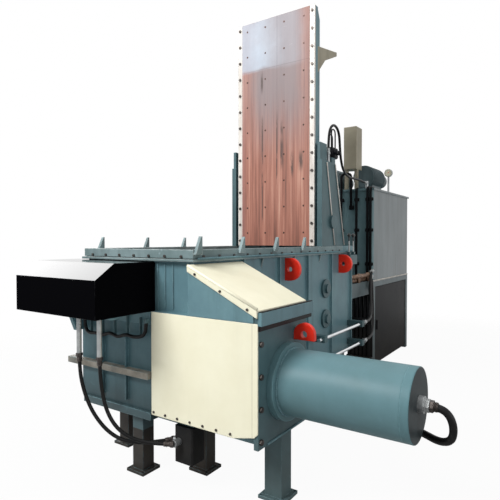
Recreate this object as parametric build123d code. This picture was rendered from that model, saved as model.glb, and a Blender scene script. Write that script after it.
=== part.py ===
"""Triple-action hydraulic scrap baler: charging box with a tilting lid, a long first ram, a side ram,
a sliding bale gate and an oil tank that stands over the first ram's cylinder.

Millimetres. X points along the side ram's cylinder, Y from the bale gate to the oil tank, Z up.
The sizes below count from the middle of the charging box's width and from the floor.
"""

import os
from math import atan2, cos, degrees, hypot, pi, radians, sin, tan

from build123d import *

# Charging box
box_width = 1026.0
box_length = 2610.0
near_reach = 912.0
wall = 32.0
floor_height = 404.0
floor_plate = 36.0
rim_top = 1534.0
rim_plate = 56.0
rim_overhang = 22.0
rim_drop = 76.0
ledge_plate = 16.0
ledge_overhang = 14.0
rear_deck = 294.0
mouth_lip = 12.0
rib_plate = 16.0
rib_count = 5
liner_plate = 12.0
cut_over = 20.0
fit_gap = 0.05
slide_gap = 2.0
seat_gap = 0.2

# Rim teeth, bolts and gussets
tooth_pitch = 475.0
right_tooth_count = 4
left_tooth_count = 3
tooth_start = 40.0
left_tooth_shift = 122.0
tooth_base = 62.0
tooth_height = 85.0
tooth_root = 30.0
tooth_plate = 24.0
tooth_tip = 8.0
gusset_height = 70.0
rim_bolt_across = 18.0
rim_bolt_head = 8.0
rim_bolt_rise = 12.0
rim_bolt_count = 14

# Lid and its hinge
lid_width = 894.0
lid_end_gap = 7.0
lid_plate = 46.0
lid_skin = 24.0
lid_gap = 6.0
lid_foot_gap = 5.0
lid_rib_depth = 84.0
lid_rib_plate = 24.0
lid_cross_ribs = 5
lid_long_ribs = 4
strip_width = 50.0
lid_bolt_count = 14
lid_bolt_across = 26.0
lid_bolt_head = 9.0
hinge_back = 238.0
hinge_pin = 90.0
hinge_boss = 180.0
cheek_plate = 40.0
cheek_inset = 12.0
cheek_root = 560.0
tower_plate = 50.0
tower_inset = 12.0
tower_height = 830.0
tower_top = 310.0
tower_foot = 543.0
tower_front = 237.0
bracket_height = 170.0
bracket_length = 150.0
bracket_plate = 30.0
pin_head_share = 0.75
stop_arm_reach = 450.0
stop_arm_drop = 459.0
stop_arm_root = 170.0
stop_arm_tip = 40.0

# Lid cylinder
lug_reach = 420.0
lug_angle = 62.0
lug_plate = 30.0
lug_gap = 112.0
lug_eye = 140.0
lid_pin = 60.0
anchor_back = 735.0
anchor_drop = 88.0
anchor_plate = 28.0
anchor_tongue = 260.0
gusset_drop = 260.0
anchor_eye = 130.0
lid_barrel = 120.0
lid_barrel_bore = 96.0
lid_barrel_end = 622.0
lid_rod = 60.0
lid_piston = 40.0
lid_gland = 30.0
lid_eye_width = 100.0
neck_share = 0.125

# First ram, along Y
ram_face_back = 74.0
ram_length = 290.0
ram_headroom = 76.0
ram_plate = 40.0
first_rod = 180.0
first_bore = 260.0
first_tube = 320.0
first_tube_length = 1930.0
first_axis_height = 764.0
first_piston = 90.0
flange_plate = 42.0
flange_margin = 35.0
bulkhead = 40.0

# Side ram, along X
side_span = 436.0
side_near_gap = 2.0
side_bottom = 444.0
side_height = 654.0
side_length = 480.0
side_axis_height = 736.0
side_rod = 200.0
side_bore = 330.0
side_tube = 400.0
side_tube_length = 742.0
side_cap = 47.0
side_piston = 100.0
side_piston_gap = 20.0
side_flange_margin = 35.0
housing_length = 535.0
housing_plate = 38.0
housing_roof = 28.0
housing_floor = 30.0
end_plate = 30.0
end_plate_rise = 60.0
end_bolt_count = 4
end_bolt_across = 30.0
end_bolt_head = 14.0
port_boss = 90.0
port_boss_length = 30.0
port_nut = 62.0
port_length = 26.0
port_rise = 8.0

# Cream panel and sloped hood beside the side ram
panel_left = 216.0
panel_stand = 72.0
panel_sheet = 6.0
panel_bottom = 449.0
panel_top = 1127.0
panel_chamfer_run = 170.0
panel_chamfer_rise = 34.0
panel_corner = 24.0
panel_rail = 40.0
screw_head = 16.0
screw_rise = 5.0
panel_screws = 7
hood_top = 1434.0
hood_bottom = 1205.0
hood_sheet = 10.0
hood_fold = 32.0
hood_rib = 14.0
hood_lip = 75.0
hood_lip_out = 26.0
hood_lip_past = 60.0
hood_screws = 3

# Bale gate, its guides and its cylinder
window_left_margin = 31.0
window_width = 360.0
window_top = 1020.0
gate_plate = 46.0
gate_left = 530.0
gate_right = 205.0
ledge_left = 640.0
gate_top = 1052.0
gate_ledge_height = 680.0
gate_ledge_plate = 44.0
gate_ledge_depth = 50.0
gate_rib = 10.0
gate_rib_count = 2
guide_lip = 22.0
guide_top = 1121.0
guide_bite = 12.0
guide_right = 205.0
guide_left = 488.0
arm_plate = 36.0
arm_low = 937.0
arm_high = 1050.0
arm_root = 77.0
arm_knee = 119.0
arm_knee_rise = 108.0
arm_eye = 150.0
gate_axis_out = 342.0
gate_axis_height = 1190.0
gate_tube = 170.0
gate_bore = 140.0
gate_head = 190.0
gate_head_length = 24.0
gate_tube_left = 460.0
gate_tube_right = 172.0
gate_rod = 80.0
gate_piston = 40.0
gate_nut_length = 30.0
saddle_plate = 26.0
gate_port = 32.0
cover_left = 654.0
cover_right = 180.0
cover_out = 485.0
cover_roof_depth = 344.0
cover_bottom = 1121.0
cover_clear = 168.0
cover_rise = 95.0
cover_sheet = 8.0

# Legs, base rails and the hydraulic manifold
base_rail = 110.0
base_rail_depth = 90.0
base_rail_inset = 70.0
leg_size = 100.0
leg_wall = 12.0
leg_foot = 160.0
foot_plate = 20.0
anchor_hole = 18.0
centre_leg_size = 120.0
centre_leg_foot = 180.0
centre_leg_back = 60.0
near_leg_x = 37.0
near_leg_out = 27.0
manifold_x = 455.0
manifold_width = 150.0
manifold_depth = 130.0
manifold_low = 171.0
manifold_port = 46.0

# Lifting lugs, covers, pipes and lever valves on the right wall
lug_radius = 95.0
lug_hole = 44.0
front_lug_width = 142.0
front_lug_side = 106.0
front_lug_rise = 36.0
lug_plate_red = 30.0
cover_disc = 180.0
cover_disc_plate = 22.0
pipe_size = 34.0
pipe_out = 142.0
pipe_clamp = 60.0
valve_width = 100.0
pivot_share = 0.7
valve_depth = 190.0
valve_low = 1340.0
valve_height = 100.0
lever_pin = 16.0
lever_size = 16.0
lever_length = 190.0
knob_size = 40.0
lever_spacing = 116.0
eye_share = 0.75
stem_share = 0.875
lug_bay_shares = (1.24, 3.42)
valve_bay_share = 3.72
disc_bay_share = 2.75
wall_lug_z = 1352.0
disc_heights = (1122.0, 828.0)
pipe_heights = (703.0, 503.0)

# Oil tank and its stand over the first ram's cylinder
tank_back = 776.0
tank_tail = 348.0
tank_width = 988.0
tank_low = 1083.0
tank_high = 2212.0
tank_lid = 24.0
tank_lid_over = 14.0
stand_post = 80.0
stand_sheet = 8.0
stand_rail = 70.0
stand_foot_gap = 40.0
tie_low = 931.0
tie_high = 1095.0
tie_plate = 50.0
door_gap = 6.0
door_handle = 120.0
door_handle_size = 18.0
motor_size = 300.0
motor_length = 420.0
motor_foot = 40.0
pump_size = 190.0
pump_length = 200.0
fin_depth = 14.0
fin_count = 12
valve_stack = 240.0
valve_stack_height = 190.0
gauge_size = 110.0
gauge_plate = 40.0
gauge_stem = 26.0
gauge_height = 300.0
breather_size = 120.0
breather_height = 90.0
box_post = 40.0
box_post_height = 260.0
switch_box_width = 170.0
switch_box_depth = 200.0
switch_box_height = 540.0
motor_near_share = 0.22
motor_side_share = 0.5
gauge_share = 0.62
stack_place_share = 1.5
spool_height_share = 0.6
fitting_share = 1.3
ram_boss_share = 1.5

# Hoses
gate_hose = 24.0
side_hose = 40.0
tower_hose = 26.0
bend_share = 0.45
gate_hose_a = [
    (-168, -1254, 860), (-166, -1253, 780), (-158, -1250, 700), (-143, -1243, 630), (-120, -1234, 560),
    (-88, -1222, 492), (-46, -1206, 430), (6, -1186, 374), (66, -1160, 330), (132, -1124, 302),
    (202, -1075, 291), (260, -1018, 290), (306, -960, 290), (346, -905, 290),
]
gate_hose_b = [
    (36, -1254, 860), (38, -1253, 780), (43, -1250, 700), (51, -1245, 630), (63, -1237, 560),
    (82, -1225, 498), (110, -1208, 440), (148, -1184, 390), (196, -1152, 352), (252, -1114, 328),
    (312, -1074, 316), (368, -1036, 310), (422, -996, 308),
]
side_hose_route = [
    (1893, -660, 744), (1945, -660, 743), (1985, -659, 716), (2003, -655, 670), (2004, -648, 620),
    (1990, -636, 580), (1955, -616, 555), (1908, -588, 545), (1858, -553, 545), (1815, -530, 547),
    (1770, -524, 549),
]
tower_hose_route = [
    (504.0, 1130.0, 2440.0), (504.0, 1132.0, 2530.0), (505.0, 1139.0, 2612.0), (504.0, 1160.0, 2686.0),
    (505.0, 1208.0, 2740.0),
    (504.0, 1278.0, 2760.0), (503.0, 1348.0, 2741.0), (502.0, 1398.0, 2690.0), (498.0, 1422.0, 2616.0),
    (492.0, 1447.0, 2540.0),
    (481.0, 1494.0, 2452.0), (464.0, 1574.0, 2376.0), (442.0, 1700.0, 2327.0), (420.0, 1850.0, 2310.0),
    (402.0, 2010.0, 2312.0),
    (388.0, 2180.0, 2322.0), (378.0, 2340.0, 2322.0), (372.0, 2450.0, 2316.0), (368.0, 2560.0, 2312.0),
]

# Places worked out from the sizes
outer_x = box_width / 2
inner_x = outer_x - wall
near_y = -near_reach
near_in = near_y + wall
far_y = near_y + box_length
floor_top = floor_height + floor_plate
wall_top = rim_top - rim_plate
rim_x = outer_x + rim_overhang
mouth_length = box_length - rear_deck
mouth_far = near_y + lid_gap + mouth_length

lid_face_closed = rim_top + lid_gap
hinge_y = mouth_far - hinge_back
hinge_z = rim_top + lid_foot_gap + hinge_back
lid_face = hinge_y + lid_face_closed - hinge_z
lid_low = rim_top + lid_foot_gap
lid_length = mouth_length - lid_end_gap
lid_high = lid_low + lid_length
lid_front = lid_face + lid_skin
lid_back = lid_front + lid_plate
lid_x = lid_width / 2
lug_y = hinge_y + lug_reach * cos(radians(lug_angle))
lug_z = hinge_z + lug_reach * sin(radians(lug_angle))
anchor_y = hinge_y + anchor_back
anchor_z = hinge_z - anchor_drop
cylinder_length = hypot(lug_y - anchor_y, lug_z - anchor_z)
cylinder_tilt = atan2(lug_z - anchor_z, lug_y - anchor_y)

side_near = near_in + side_near_gap
side_far = side_near + side_span
side_mid = (side_near + side_far) / 2
side_top = side_bottom + side_height
housing_x = outer_x + housing_length
housing_far = side_far + slide_gap + housing_plate
rib_first = side_far + 2 * housing_plate
rib_bay = (far_y - rib_plate - rib_first) / (rib_count - 1)
cap_x = housing_x + side_tube_length + side_cap
port_tip = cap_x + port_boss_length + port_length
port_z = side_axis_height + port_rise
panel_y = near_y - panel_stand

gate_front = near_y - slide_gap - gate_plate
gate_axis_y = near_y - gate_axis_out
cover_y = near_y - cover_out
cover_brow = gate_axis_height + cover_clear
cover_top = cover_brow + cover_rise
tank_near = far_y + tank_back
tank_length = first_tube_length - tank_back + tank_tail
tank_far = tank_near + tank_length
tank_x = tank_width / 2

# The part's origin: the middle of its footprint, on the floor
origin_x = (port_tip - cover_left) / 2
origin_y = (tank_far + tank_lid_over + cover_y) / 2


nodes = {}


def save(name, *shapes):
    """Adds solids to a node; a node that several pieces share keeps them as separate solids."""
    nodes.setdefault(name, []).extend(solid for shape in shapes for solid in shape.solids())


def export_nodes():
    shift = Location((-origin_x, -origin_y, 0))
    for name, solids in nodes.items():
        moved = [solid.moved(shift) for solid in solids]
        export_step(moved[0] if len(moved) == 1 else Compound(children=moved), f"parts/{name}.step")


def block(x0, x1, y0, y1, z0, z1):
    middle = Pos((x0 + x1) / 2, (y0 + y1) / 2, (z0 + z1) / 2)
    return middle * Box(abs(x1 - x0), abs(y1 - y0), abs(z1 - z0))


def rod_x(x0, x1, y, z, size):
    return Pos((x0 + x1) / 2, y, z) * Rot(0, 90, 0) * Cylinder(size / 2, abs(x1 - x0))


def rod_y(y0, y1, x, z, size):
    return Pos(x, (y0 + y1) / 2, z) * Rot(90, 0, 0) * Cylinder(size / 2, abs(y1 - y0))


def rod_z(z0, z1, x, y, size):
    return Pos(x, y, (z0 + z1) / 2) * Cylinder(size / 2, abs(z1 - z0))


def hex_x(x0, x1, y, z, across):
    sketch = Plane.YZ.offset(min(x0, x1)) * Pos(y, z) * RegularPolygon(across / 2, 6, major_radius=False)
    return extrude(sketch, abs(x1 - x0))


def hex_y(y0, y1, x, z, across):
    sketch = Plane.XZ.offset(-max(y0, y1)) * Pos(x, z) * RegularPolygon(across / 2, 6, major_radius=False)
    return extrude(sketch, abs(y1 - y0))


def plate_yz(points, x0, x1):
    face = make_face(Polyline(*points, close=True))
    return extrude(Plane.YZ.offset(min(x0, x1)) * face, abs(x1 - x0))


def plate_xz(points, y0, y1):
    face = make_face(Polyline(*points, close=True))
    return extrude(Plane.XZ.offset(-max(y0, y1)) * face, abs(y1 - y0))


def spread(low, high, count):
    step = (high - low) / (count - 1)
    return [low + step * index for index in range(count)]


def joined(shapes):
    whole = shapes[0]
    for shape in shapes[1:]:
        whole += shape
    return whole


def charging_box():
    """Floor, side walls with ribs, near wall with the bale window, and the bulkhead."""
    save("chamber_floor", block(-outer_x, outer_x, near_y, far_y, floor_height, floor_top))

    rib_y = [rib_first + rib_bay * index for index in range(rib_count)]
    for name, side in (("left_wall", -1), ("right_wall", 1)):
        panel = block(side * inner_x, side * outer_x, near_y, far_y, floor_top, wall_top)
        ribs = [
            block(side * outer_x, side * rim_x, y - rib_plate / 2, y + rib_plate / 2, floor_top,
                  rim_top - rim_drop)
            for y in rib_y
        ]
        if side > 0:
            panel -= block(
                inner_x - cut_over, outer_x + cut_over, side_near - slide_gap, side_far + slide_gap,
                side_bottom - slide_gap, side_top + slide_gap,
            )
        save(name, panel, *ribs)

    near = block(-inner_x, inner_x, near_y, near_in, floor_top, wall_top)
    window_x = -inner_x + window_left_margin
    near -= block(window_x, window_x + window_width, near_y - cut_over, near_in + cut_over, floor_top,
                  window_top)
    save("near_wall", near)

    head = block(-inner_x, inner_x, far_y - bulkhead, far_y, floor_top, wall_top)
    head -= rod_y(far_y - bulkhead - cut_over, far_y + cut_over, 0, first_axis_height,
                  first_rod + 2 * fit_gap)
    save("rear_bulkhead", head)


def rim():
    """Deep flange round the mouth, the ledge under it with gussets, its bolts and the shear teeth."""
    front = near_y - rim_overhang
    mouth_end = mouth_far + mouth_lip
    flange = block(-rim_x, rim_x, front, mouth_end, wall_top, rim_top)
    flange -= block(-inner_x, inner_x, near_in, mouth_end + cut_over, wall_top - cut_over, rim_top + cut_over)
    save("rim", flange)

    ledge_low = rim_top - rim_drop
    ledge_top = ledge_low + ledge_plate
    ledge_x = rim_x + ledge_overhang
    ledge = block(-ledge_x, ledge_x, front - ledge_overhang, far_y, ledge_low, ledge_top)
    ledge -= block(-outer_x, outer_x, near_y, far_y + cut_over, ledge_low - cut_over, ledge_top + cut_over)
    right_tips = [near_y + tooth_start + tooth_pitch * index for index in range(right_tooth_count)]
    left_tips = [tip + left_tooth_shift for tip in right_tips[:left_tooth_count]]
    gussets = []
    for index in range(rib_count - 2):
        y = rib_first + rib_bay * (index + 0.5)
        outline = [(outer_x, ledge_low), (rim_x, ledge_low), (outer_x, ledge_low - gusset_height)]
        mirrored = [(-x, z) for x, z in outline]
        gussets.append(plate_xz(outline, y - rib_plate / 2, y + rib_plate / 2))
        gussets.append(plate_xz(mirrored, y - rib_plate / 2, y + rib_plate / 2))
    save("rim", joined([ledge] + gussets))

    bolt_z = wall_top + rim_bolt_rise
    bolts = []
    for y in spread(near_y + rim_drop, mouth_far - rim_drop, rim_bolt_count):
        bolts.append(hex_x(rim_x, rim_x + rim_bolt_head, y, bolt_z, rim_bolt_across))
        bolts.append(hex_x(-rim_x, -rim_x - rim_bolt_head, y, bolt_z, rim_bolt_across))
    for x in spread(-outer_x + rim_drop, outer_x - rim_drop, rim_bolt_count // 2):
        bolts.append(hex_y(front, front - rim_bolt_head, x, bolt_z, rim_bolt_across))
    save("frame_bolts", *bolts)

    low, high = rim_top - tooth_root, rim_top + tooth_height
    for side, tips in ((-1, left_tips), (1, right_tips)):
        teeth = []
        for tip in tips:
            outline = [(tip - tooth_base, low), (tip, low), (tip, high), (tip - tooth_tip, high)]
            teeth.append(plate_yz(outline, side * rim_x, side * (rim_x + tooth_plate)))
        save("rim_teeth", *teeth)


def liners():
    """Wear plates on the two side walls; the right one is open where the side ram comes through."""
    for side in (-1, 1):
        skin = block(
            side * (inner_x - liner_plate), side * inner_x, near_in, far_y - bulkhead, floor_top, wall_top
        )
        if side > 0:
            skin -= block(
                inner_x - liner_plate - cut_over, inner_x + cut_over, side_near - slide_gap,
                side_far + slide_gap, side_bottom - slide_gap, side_top + slide_gap,
            )
        save("wall_liners", skin)


def lid():
    """Ribbed lid with hinge cheeks and cylinder lugs, its wear plate, edge strips, bolts and stop arm."""
    plate = block(-lid_x, lid_x, lid_front, lid_back, lid_low, lid_high)
    rib_back = lid_back + lid_rib_depth
    cheek_x = lid_x - cheek_inset
    rib_x = spread(-cheek_x + cheek_plate / 2, cheek_x - cheek_plate / 2, lid_long_ribs)
    ribs = []
    for x in rib_x:
        low = lid_low + cheek_root if x in (rib_x[0], rib_x[-1]) else lid_low
        outline = [
            (lid_back, low), (lid_back, lid_high), (rib_back - lid_rib_depth / 2, lid_high),
            (rib_back, lid_high - lid_rib_depth), (rib_back, low + lid_rib_depth),
            (rib_back - lid_rib_depth / 2, low),
        ]
        ribs.append(plate_yz(outline, x - lid_rib_plate / 2, x + lid_rib_plate / 2))
    cheeks = []
    lugs = []
    bore = rod_x(-outer_x, outer_x, hinge_y, hinge_z, hinge_pin + 2 * fit_gap)
    for side in (-1, 1):
        x0, x1 = side * (cheek_x - cheek_plate), side * cheek_x
        cheek = plate_yz(
            [
                (lid_back, lid_low + hinge_boss / 4), (hinge_y, hinge_z - hinge_boss / 2),
                (hinge_y, hinge_z + hinge_boss / 2), (lid_back, lid_low + cheek_root),
            ],
            x0, x1,
        )
        cheeks.append(cheek + rod_x(x0, x1, hinge_y, hinge_z, hinge_boss) - bore)
        x0, x1 = side * lug_gap / 2, side * (lug_gap / 2 + lug_plate)
        lug = plate_yz(
            [
                (lid_back, lug_z - lug_eye), (lug_y, lug_z - lug_eye / 2),
                (lug_y, lug_z + lug_eye / 2), (lid_back, lug_z + lug_eye),
            ],
            x0, x1,
        )
        lug += rod_x(x0, x1, lug_y, lug_z, lug_eye)
        lugs.append(lug - rod_x(x0 - side * cut_over, x1 + side * cut_over, lug_y, lug_z, lid_pin))
    save("lid_frame", plate, *ribs, *cheeks, *lugs)
    for z in spread(lid_low + lid_rib_depth, lid_high - lid_rib_depth, lid_cross_ribs):
        for left, right in zip(rib_x, rib_x[1:]):
            rib = block(
                left + lid_rib_plate / 2, right - lid_rib_plate / 2, lid_back, rib_back - lid_rib_plate,
                z - lid_rib_plate / 2, z + lid_rib_plate / 2,
            )
            for solid in cheeks + lugs:
                rib -= solid
            save("lid_frame", rib)

    strip_x = lid_x - strip_width
    save("lid_wear_plate", block(-strip_x, strip_x, lid_face, lid_front, lid_low, lid_high))
    strips = [
        block(side * strip_x, side * lid_x, lid_face, lid_front, lid_low, lid_high) for side in (-1, 1)
    ]
    save("lid_edge_strips", *strips)

    bolts = []
    for side in (-1, 1):
        for z in spread(lid_low + strip_width, lid_high - strip_width, lid_bolt_count):
            x = side * (lid_x - strip_width / 2)
            bolts.append(hex_y(lid_face, lid_face - lid_bolt_head, x, z, lid_bolt_across))
    save("lid_bolts", *bolts)

    root_z = lid_high - stop_arm_drop
    tip_z = root_z + stop_arm_root
    arm = plate_yz(
        [
            (lid_back, root_z - stop_arm_root), (lid_back, tip_z - stop_arm_root / 2),
            (lid_back + stop_arm_reach, tip_z),
            (lid_back + stop_arm_reach, tip_z - stop_arm_tip), (lid_back + stop_arm_root, root_z),
        ],
        cheek_x - (cheek_plate - lid_rib_plate) / 2, lid_x,
    )
    save("lid_stop_arm", arm)


def hinge_towers():
    """Two upright plates on the rim that carry the lid's hinge pins, each with a hose bracket on top."""
    inner = rim_x - tower_inset / 2 - tower_plate
    outer = inner + tower_plate
    front = hinge_y - tower_front
    top = rim_top + tower_height
    for side in (-1, 1):
        outline = [(front, rim_top), (front, top), (front + tower_top, top), (front + tower_foot, rim_top)]
        tower = plate_yz(outline, side * inner, side * outer)
        tower -= rod_x(side * (inner - cut_over), side * (outer + cut_over), hinge_y, hinge_z, hinge_pin)
        bracket = block(
            side * inner, side * (inner + bracket_plate), front, front + bracket_length, top,
            top + bracket_height
        )
        save("hinge_towers", tower, bracket)

    pins = []
    cheek_x = lid_x - cheek_inset - cheek_plate
    for side in (-1, 1):
        end = rim_x - tower_inset / 2 + tower_inset
        pin = rod_x(side * cheek_x, side * end, hinge_y, hinge_z, hinge_pin - 2 * fit_gap)
        head_start, head_end = end - tower_inset + seat_gap, end + tower_inset
        head = rod_x(side * head_start, side * head_end, hinge_y, hinge_z, hinge_boss * pin_head_share)
        pins.append(pin + head)
    save("pivot_pins", *pins)


def along(distance, length, size):
    """A round bar on the lid cylinder's line, starting a distance from its lower pivot."""
    line = Plane(
        origin=(0, anchor_y, anchor_z), x_dir=(1, 0, 0), z_dir=(0, cos(cylinder_tilt), sin(cylinder_tilt))
    )
    return line * Pos(0, 0, distance + length / 2) * Cylinder(size / 2, length)


def lid_cylinder():
    """Rear cover with its ears, and the lid cylinder, whose rod eye stays open at the lid's lugs."""
    ears = []
    for side in (-1, 1):
        x0, x1 = side * (lid_eye_width / 2 + slide_gap), side * (lid_eye_width / 2 + slide_gap + anchor_plate)
        ear = plate_yz(
            [
                (anchor_y - anchor_eye / 2, rim_top), (anchor_y + anchor_eye / 2, rim_top),
                (anchor_y + anchor_eye / 2, anchor_z), (anchor_y - anchor_eye / 2, anchor_z),
            ],
            x0, x1,
        )
        ears.append(ear + rod_x(x0, x1, anchor_y, anchor_z, anchor_eye))
    reach = lid_eye_width / 2 + slide_gap + anchor_plate
    bore = rod_x(-reach - cut_over, reach + cut_over, anchor_y, anchor_z, lid_pin)
    cover = block(-rim_x, rim_x, mouth_far + mouth_lip, far_y, wall_top, rim_top)
    tongue_x, tongue_end = anchor_tongue / 2, anchor_y + anchor_eye
    tongue = block(-tongue_x, tongue_x, far_y, tongue_end, wall_top, rim_top)
    outline = [(far_y, wall_top), (tongue_end, wall_top), (far_y, wall_top - gusset_drop)]
    gussets = [
        plate_yz(outline, side * (tongue_x - anchor_plate), side * tongue_x) for side in (-1, 1)
    ]
    save("rear_cover", cover, tongue, *gussets, *[ear - bore for ear in ears])
    save("pivot_pins", rod_x(-reach - slide_gap, reach + slide_gap, anchor_y, anchor_z,
                             lid_pin - 2 * fit_gap))

    half = lid_eye_width / 2
    start = anchor_eye / 2 + lid_piston
    eye = rod_x(-half, half, anchor_y, anchor_z, anchor_eye - 2 * slide_gap)
    neck_end = anchor_eye / 2 + lid_barrel * neck_share
    barrel = eye + along(0, neck_end, lid_eye_width - 2 * lid_barrel * neck_share / 3)
    barrel += along(neck_end, lid_barrel_end - neck_end, lid_barrel)
    barrel -= along(start, lid_barrel_end - start - lid_gland, lid_barrel_bore)
    barrel -= along(start, lid_barrel_end, lid_rod + 2 * fit_gap)
    barrel -= rod_x(-half - cut_over, half + cut_over, anchor_y, anchor_z, lid_pin + 2 * fit_gap)
    save("lid_cylinder_barrel", barrel)

    rod = along(start + slide_gap, cylinder_length - start - slide_gap, lid_rod)
    rod += along(start + slide_gap, lid_piston, lid_barrel_bore - 2 * fit_gap)
    rod += rod_x(-half, half, lug_y, lug_z, lug_eye - lid_piston)
    save("lid_cylinder_rod", rod - rod_x(-half - cut_over, half + cut_over, lug_y, lug_z, lid_pin))


def first_ram():
    """Long ram that pushes along -Y, its rod, and the cylinder bolted to the bulkhead."""
    half = inner_x - liner_plate - slide_gap
    face_y = mouth_far - ram_face_back
    back_y = face_y + ram_length
    low, high = floor_top + slide_gap, wall_top - ram_headroom
    head = block(-half, half, face_y, back_y, low, high)
    pocket = block(
        -half + ram_plate, half - ram_plate, face_y + ram_plate * 2, back_y + cut_over,
        low + ram_plate, high - ram_plate,
    )
    boss = first_rod * ram_boss_share
    head = head - pocket + rod_y(face_y + ram_plate, face_y + ram_plate * 3, 0, first_axis_height, boss)
    for x in (-half / 2, half / 2):
        head += block(
            x - ram_plate / 2, x + ram_plate / 2, face_y + ram_plate, back_y - ram_plate,
            low + ram_plate / 2, high - ram_plate / 2,
        )
    save("first_ram_head", head)

    tube_start = far_y + flange_plate
    tube_end = far_y + first_tube_length
    piston_end = tube_end - flange_plate - first_piston / 2
    rod = rod_y(face_y + ram_plate * 3, piston_end, 0, first_axis_height, first_rod)
    rod += rod_y(piston_end - first_piston, piston_end, 0, first_axis_height, first_bore - 2 * fit_gap)
    save("first_ram_rod", rod)

    tube = rod_y(far_y, tube_start, 0, first_axis_height, first_tube + 2 * flange_margin)
    tube += rod_y(far_y, tube_end, 0, first_axis_height, first_tube)
    tube -= rod_y(tube_start, tube_end - flange_plate, 0, first_axis_height, first_bore)
    tube -= rod_y(far_y - cut_over, tube_start + cut_over, 0, first_axis_height, first_rod + 2 * fit_gap)
    save("first_cylinder", tube)


def side_ram():
    """Side ram, its rod, the housing beside the right wall and the large cylinder on its end plate."""
    face_x = inner_x - liner_plate
    back_x = face_x + side_length
    head = block(face_x, back_x, side_near, side_far, side_bottom, side_top)
    head -= block(
        face_x + ram_plate * 2, back_x + cut_over, side_near + ram_plate, side_far - ram_plate,
        side_bottom + ram_plate, side_top - ram_plate,
    )
    boss = side_rod * ram_boss_share
    head += rod_x(face_x + ram_plate, face_x + ram_plate * 3, side_mid, side_axis_height, boss)
    save("side_ram_head", head)

    tube_end = housing_x + side_tube_length
    piston_end = tube_end - side_piston_gap
    rod = rod_x(face_x + ram_plate * 3, piston_end, side_mid, side_axis_height, side_rod)
    rod += rod_x(piston_end - side_piston, piston_end, side_mid, side_axis_height, side_bore - 2 * fit_gap)
    save("side_ram_rod", rod)

    near_in_side = side_near - slide_gap
    low, high = side_bottom - slide_gap, side_top + slide_gap
    inner_end = housing_x - end_plate
    shell = joined(
        [
            block(outer_x, inner_end, near_y, near_in_side, low - housing_floor, high + housing_roof),
            block(outer_x, inner_end, side_far + slide_gap, housing_far, low - housing_floor,
                  high + housing_roof),
            block(outer_x, inner_end, near_y, housing_far, low - housing_floor, low),
            block(outer_x, inner_end, near_y, housing_far, high, high + housing_roof),
        ]
    )
    save("side_ram_housing", shell)

    plate = block(
        inner_end, housing_x, panel_y + panel_sheet, housing_far, low - housing_floor,
        high + housing_roof + end_plate_rise,
    )
    plate -= rod_x(inner_end - cut_over, housing_x + cut_over, side_mid, side_axis_height,
                   side_rod + 2 * fit_gap)
    save("housing_end_plate", plate)

    bolts = []
    for z in spread(low + end_bolt_head, high - 3 * end_bolt_across, end_bolt_count):
        bolts.append(hex_x(housing_x, housing_x + end_bolt_head, panel_y + end_bolt_across, z,
                           end_bolt_across))
    save("frame_bolts", *bolts)

    flange_end = housing_x + flange_plate
    ring = rod_x(housing_x, flange_end, side_mid, side_axis_height, side_tube + 2 * side_flange_margin)
    bore = rod_x(flange_end, tube_end + cut_over, side_mid, side_axis_height, side_bore)
    bore += rod_x(housing_x - cut_over, flange_end + cut_over, side_mid, side_axis_height,
                  side_rod + 2 * fit_gap)
    tube = ring + rod_x(housing_x, tube_end, side_mid, side_axis_height, side_tube)
    save("side_cylinder", tube - bore)

    cap = rod_x(tube_end, cap_x, side_mid, side_axis_height, side_tube)
    save("side_cylinder_cap", fillet(cap.edges().group_by(Axis.X)[-1], side_cap / 8))

    port = rod_x(cap_x, cap_x + port_boss_length, side_mid, port_z, port_boss)
    save("hose_fittings", port + hex_x(cap_x + port_boss_length, port_tip, side_mid, port_z, port_nut))


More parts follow.
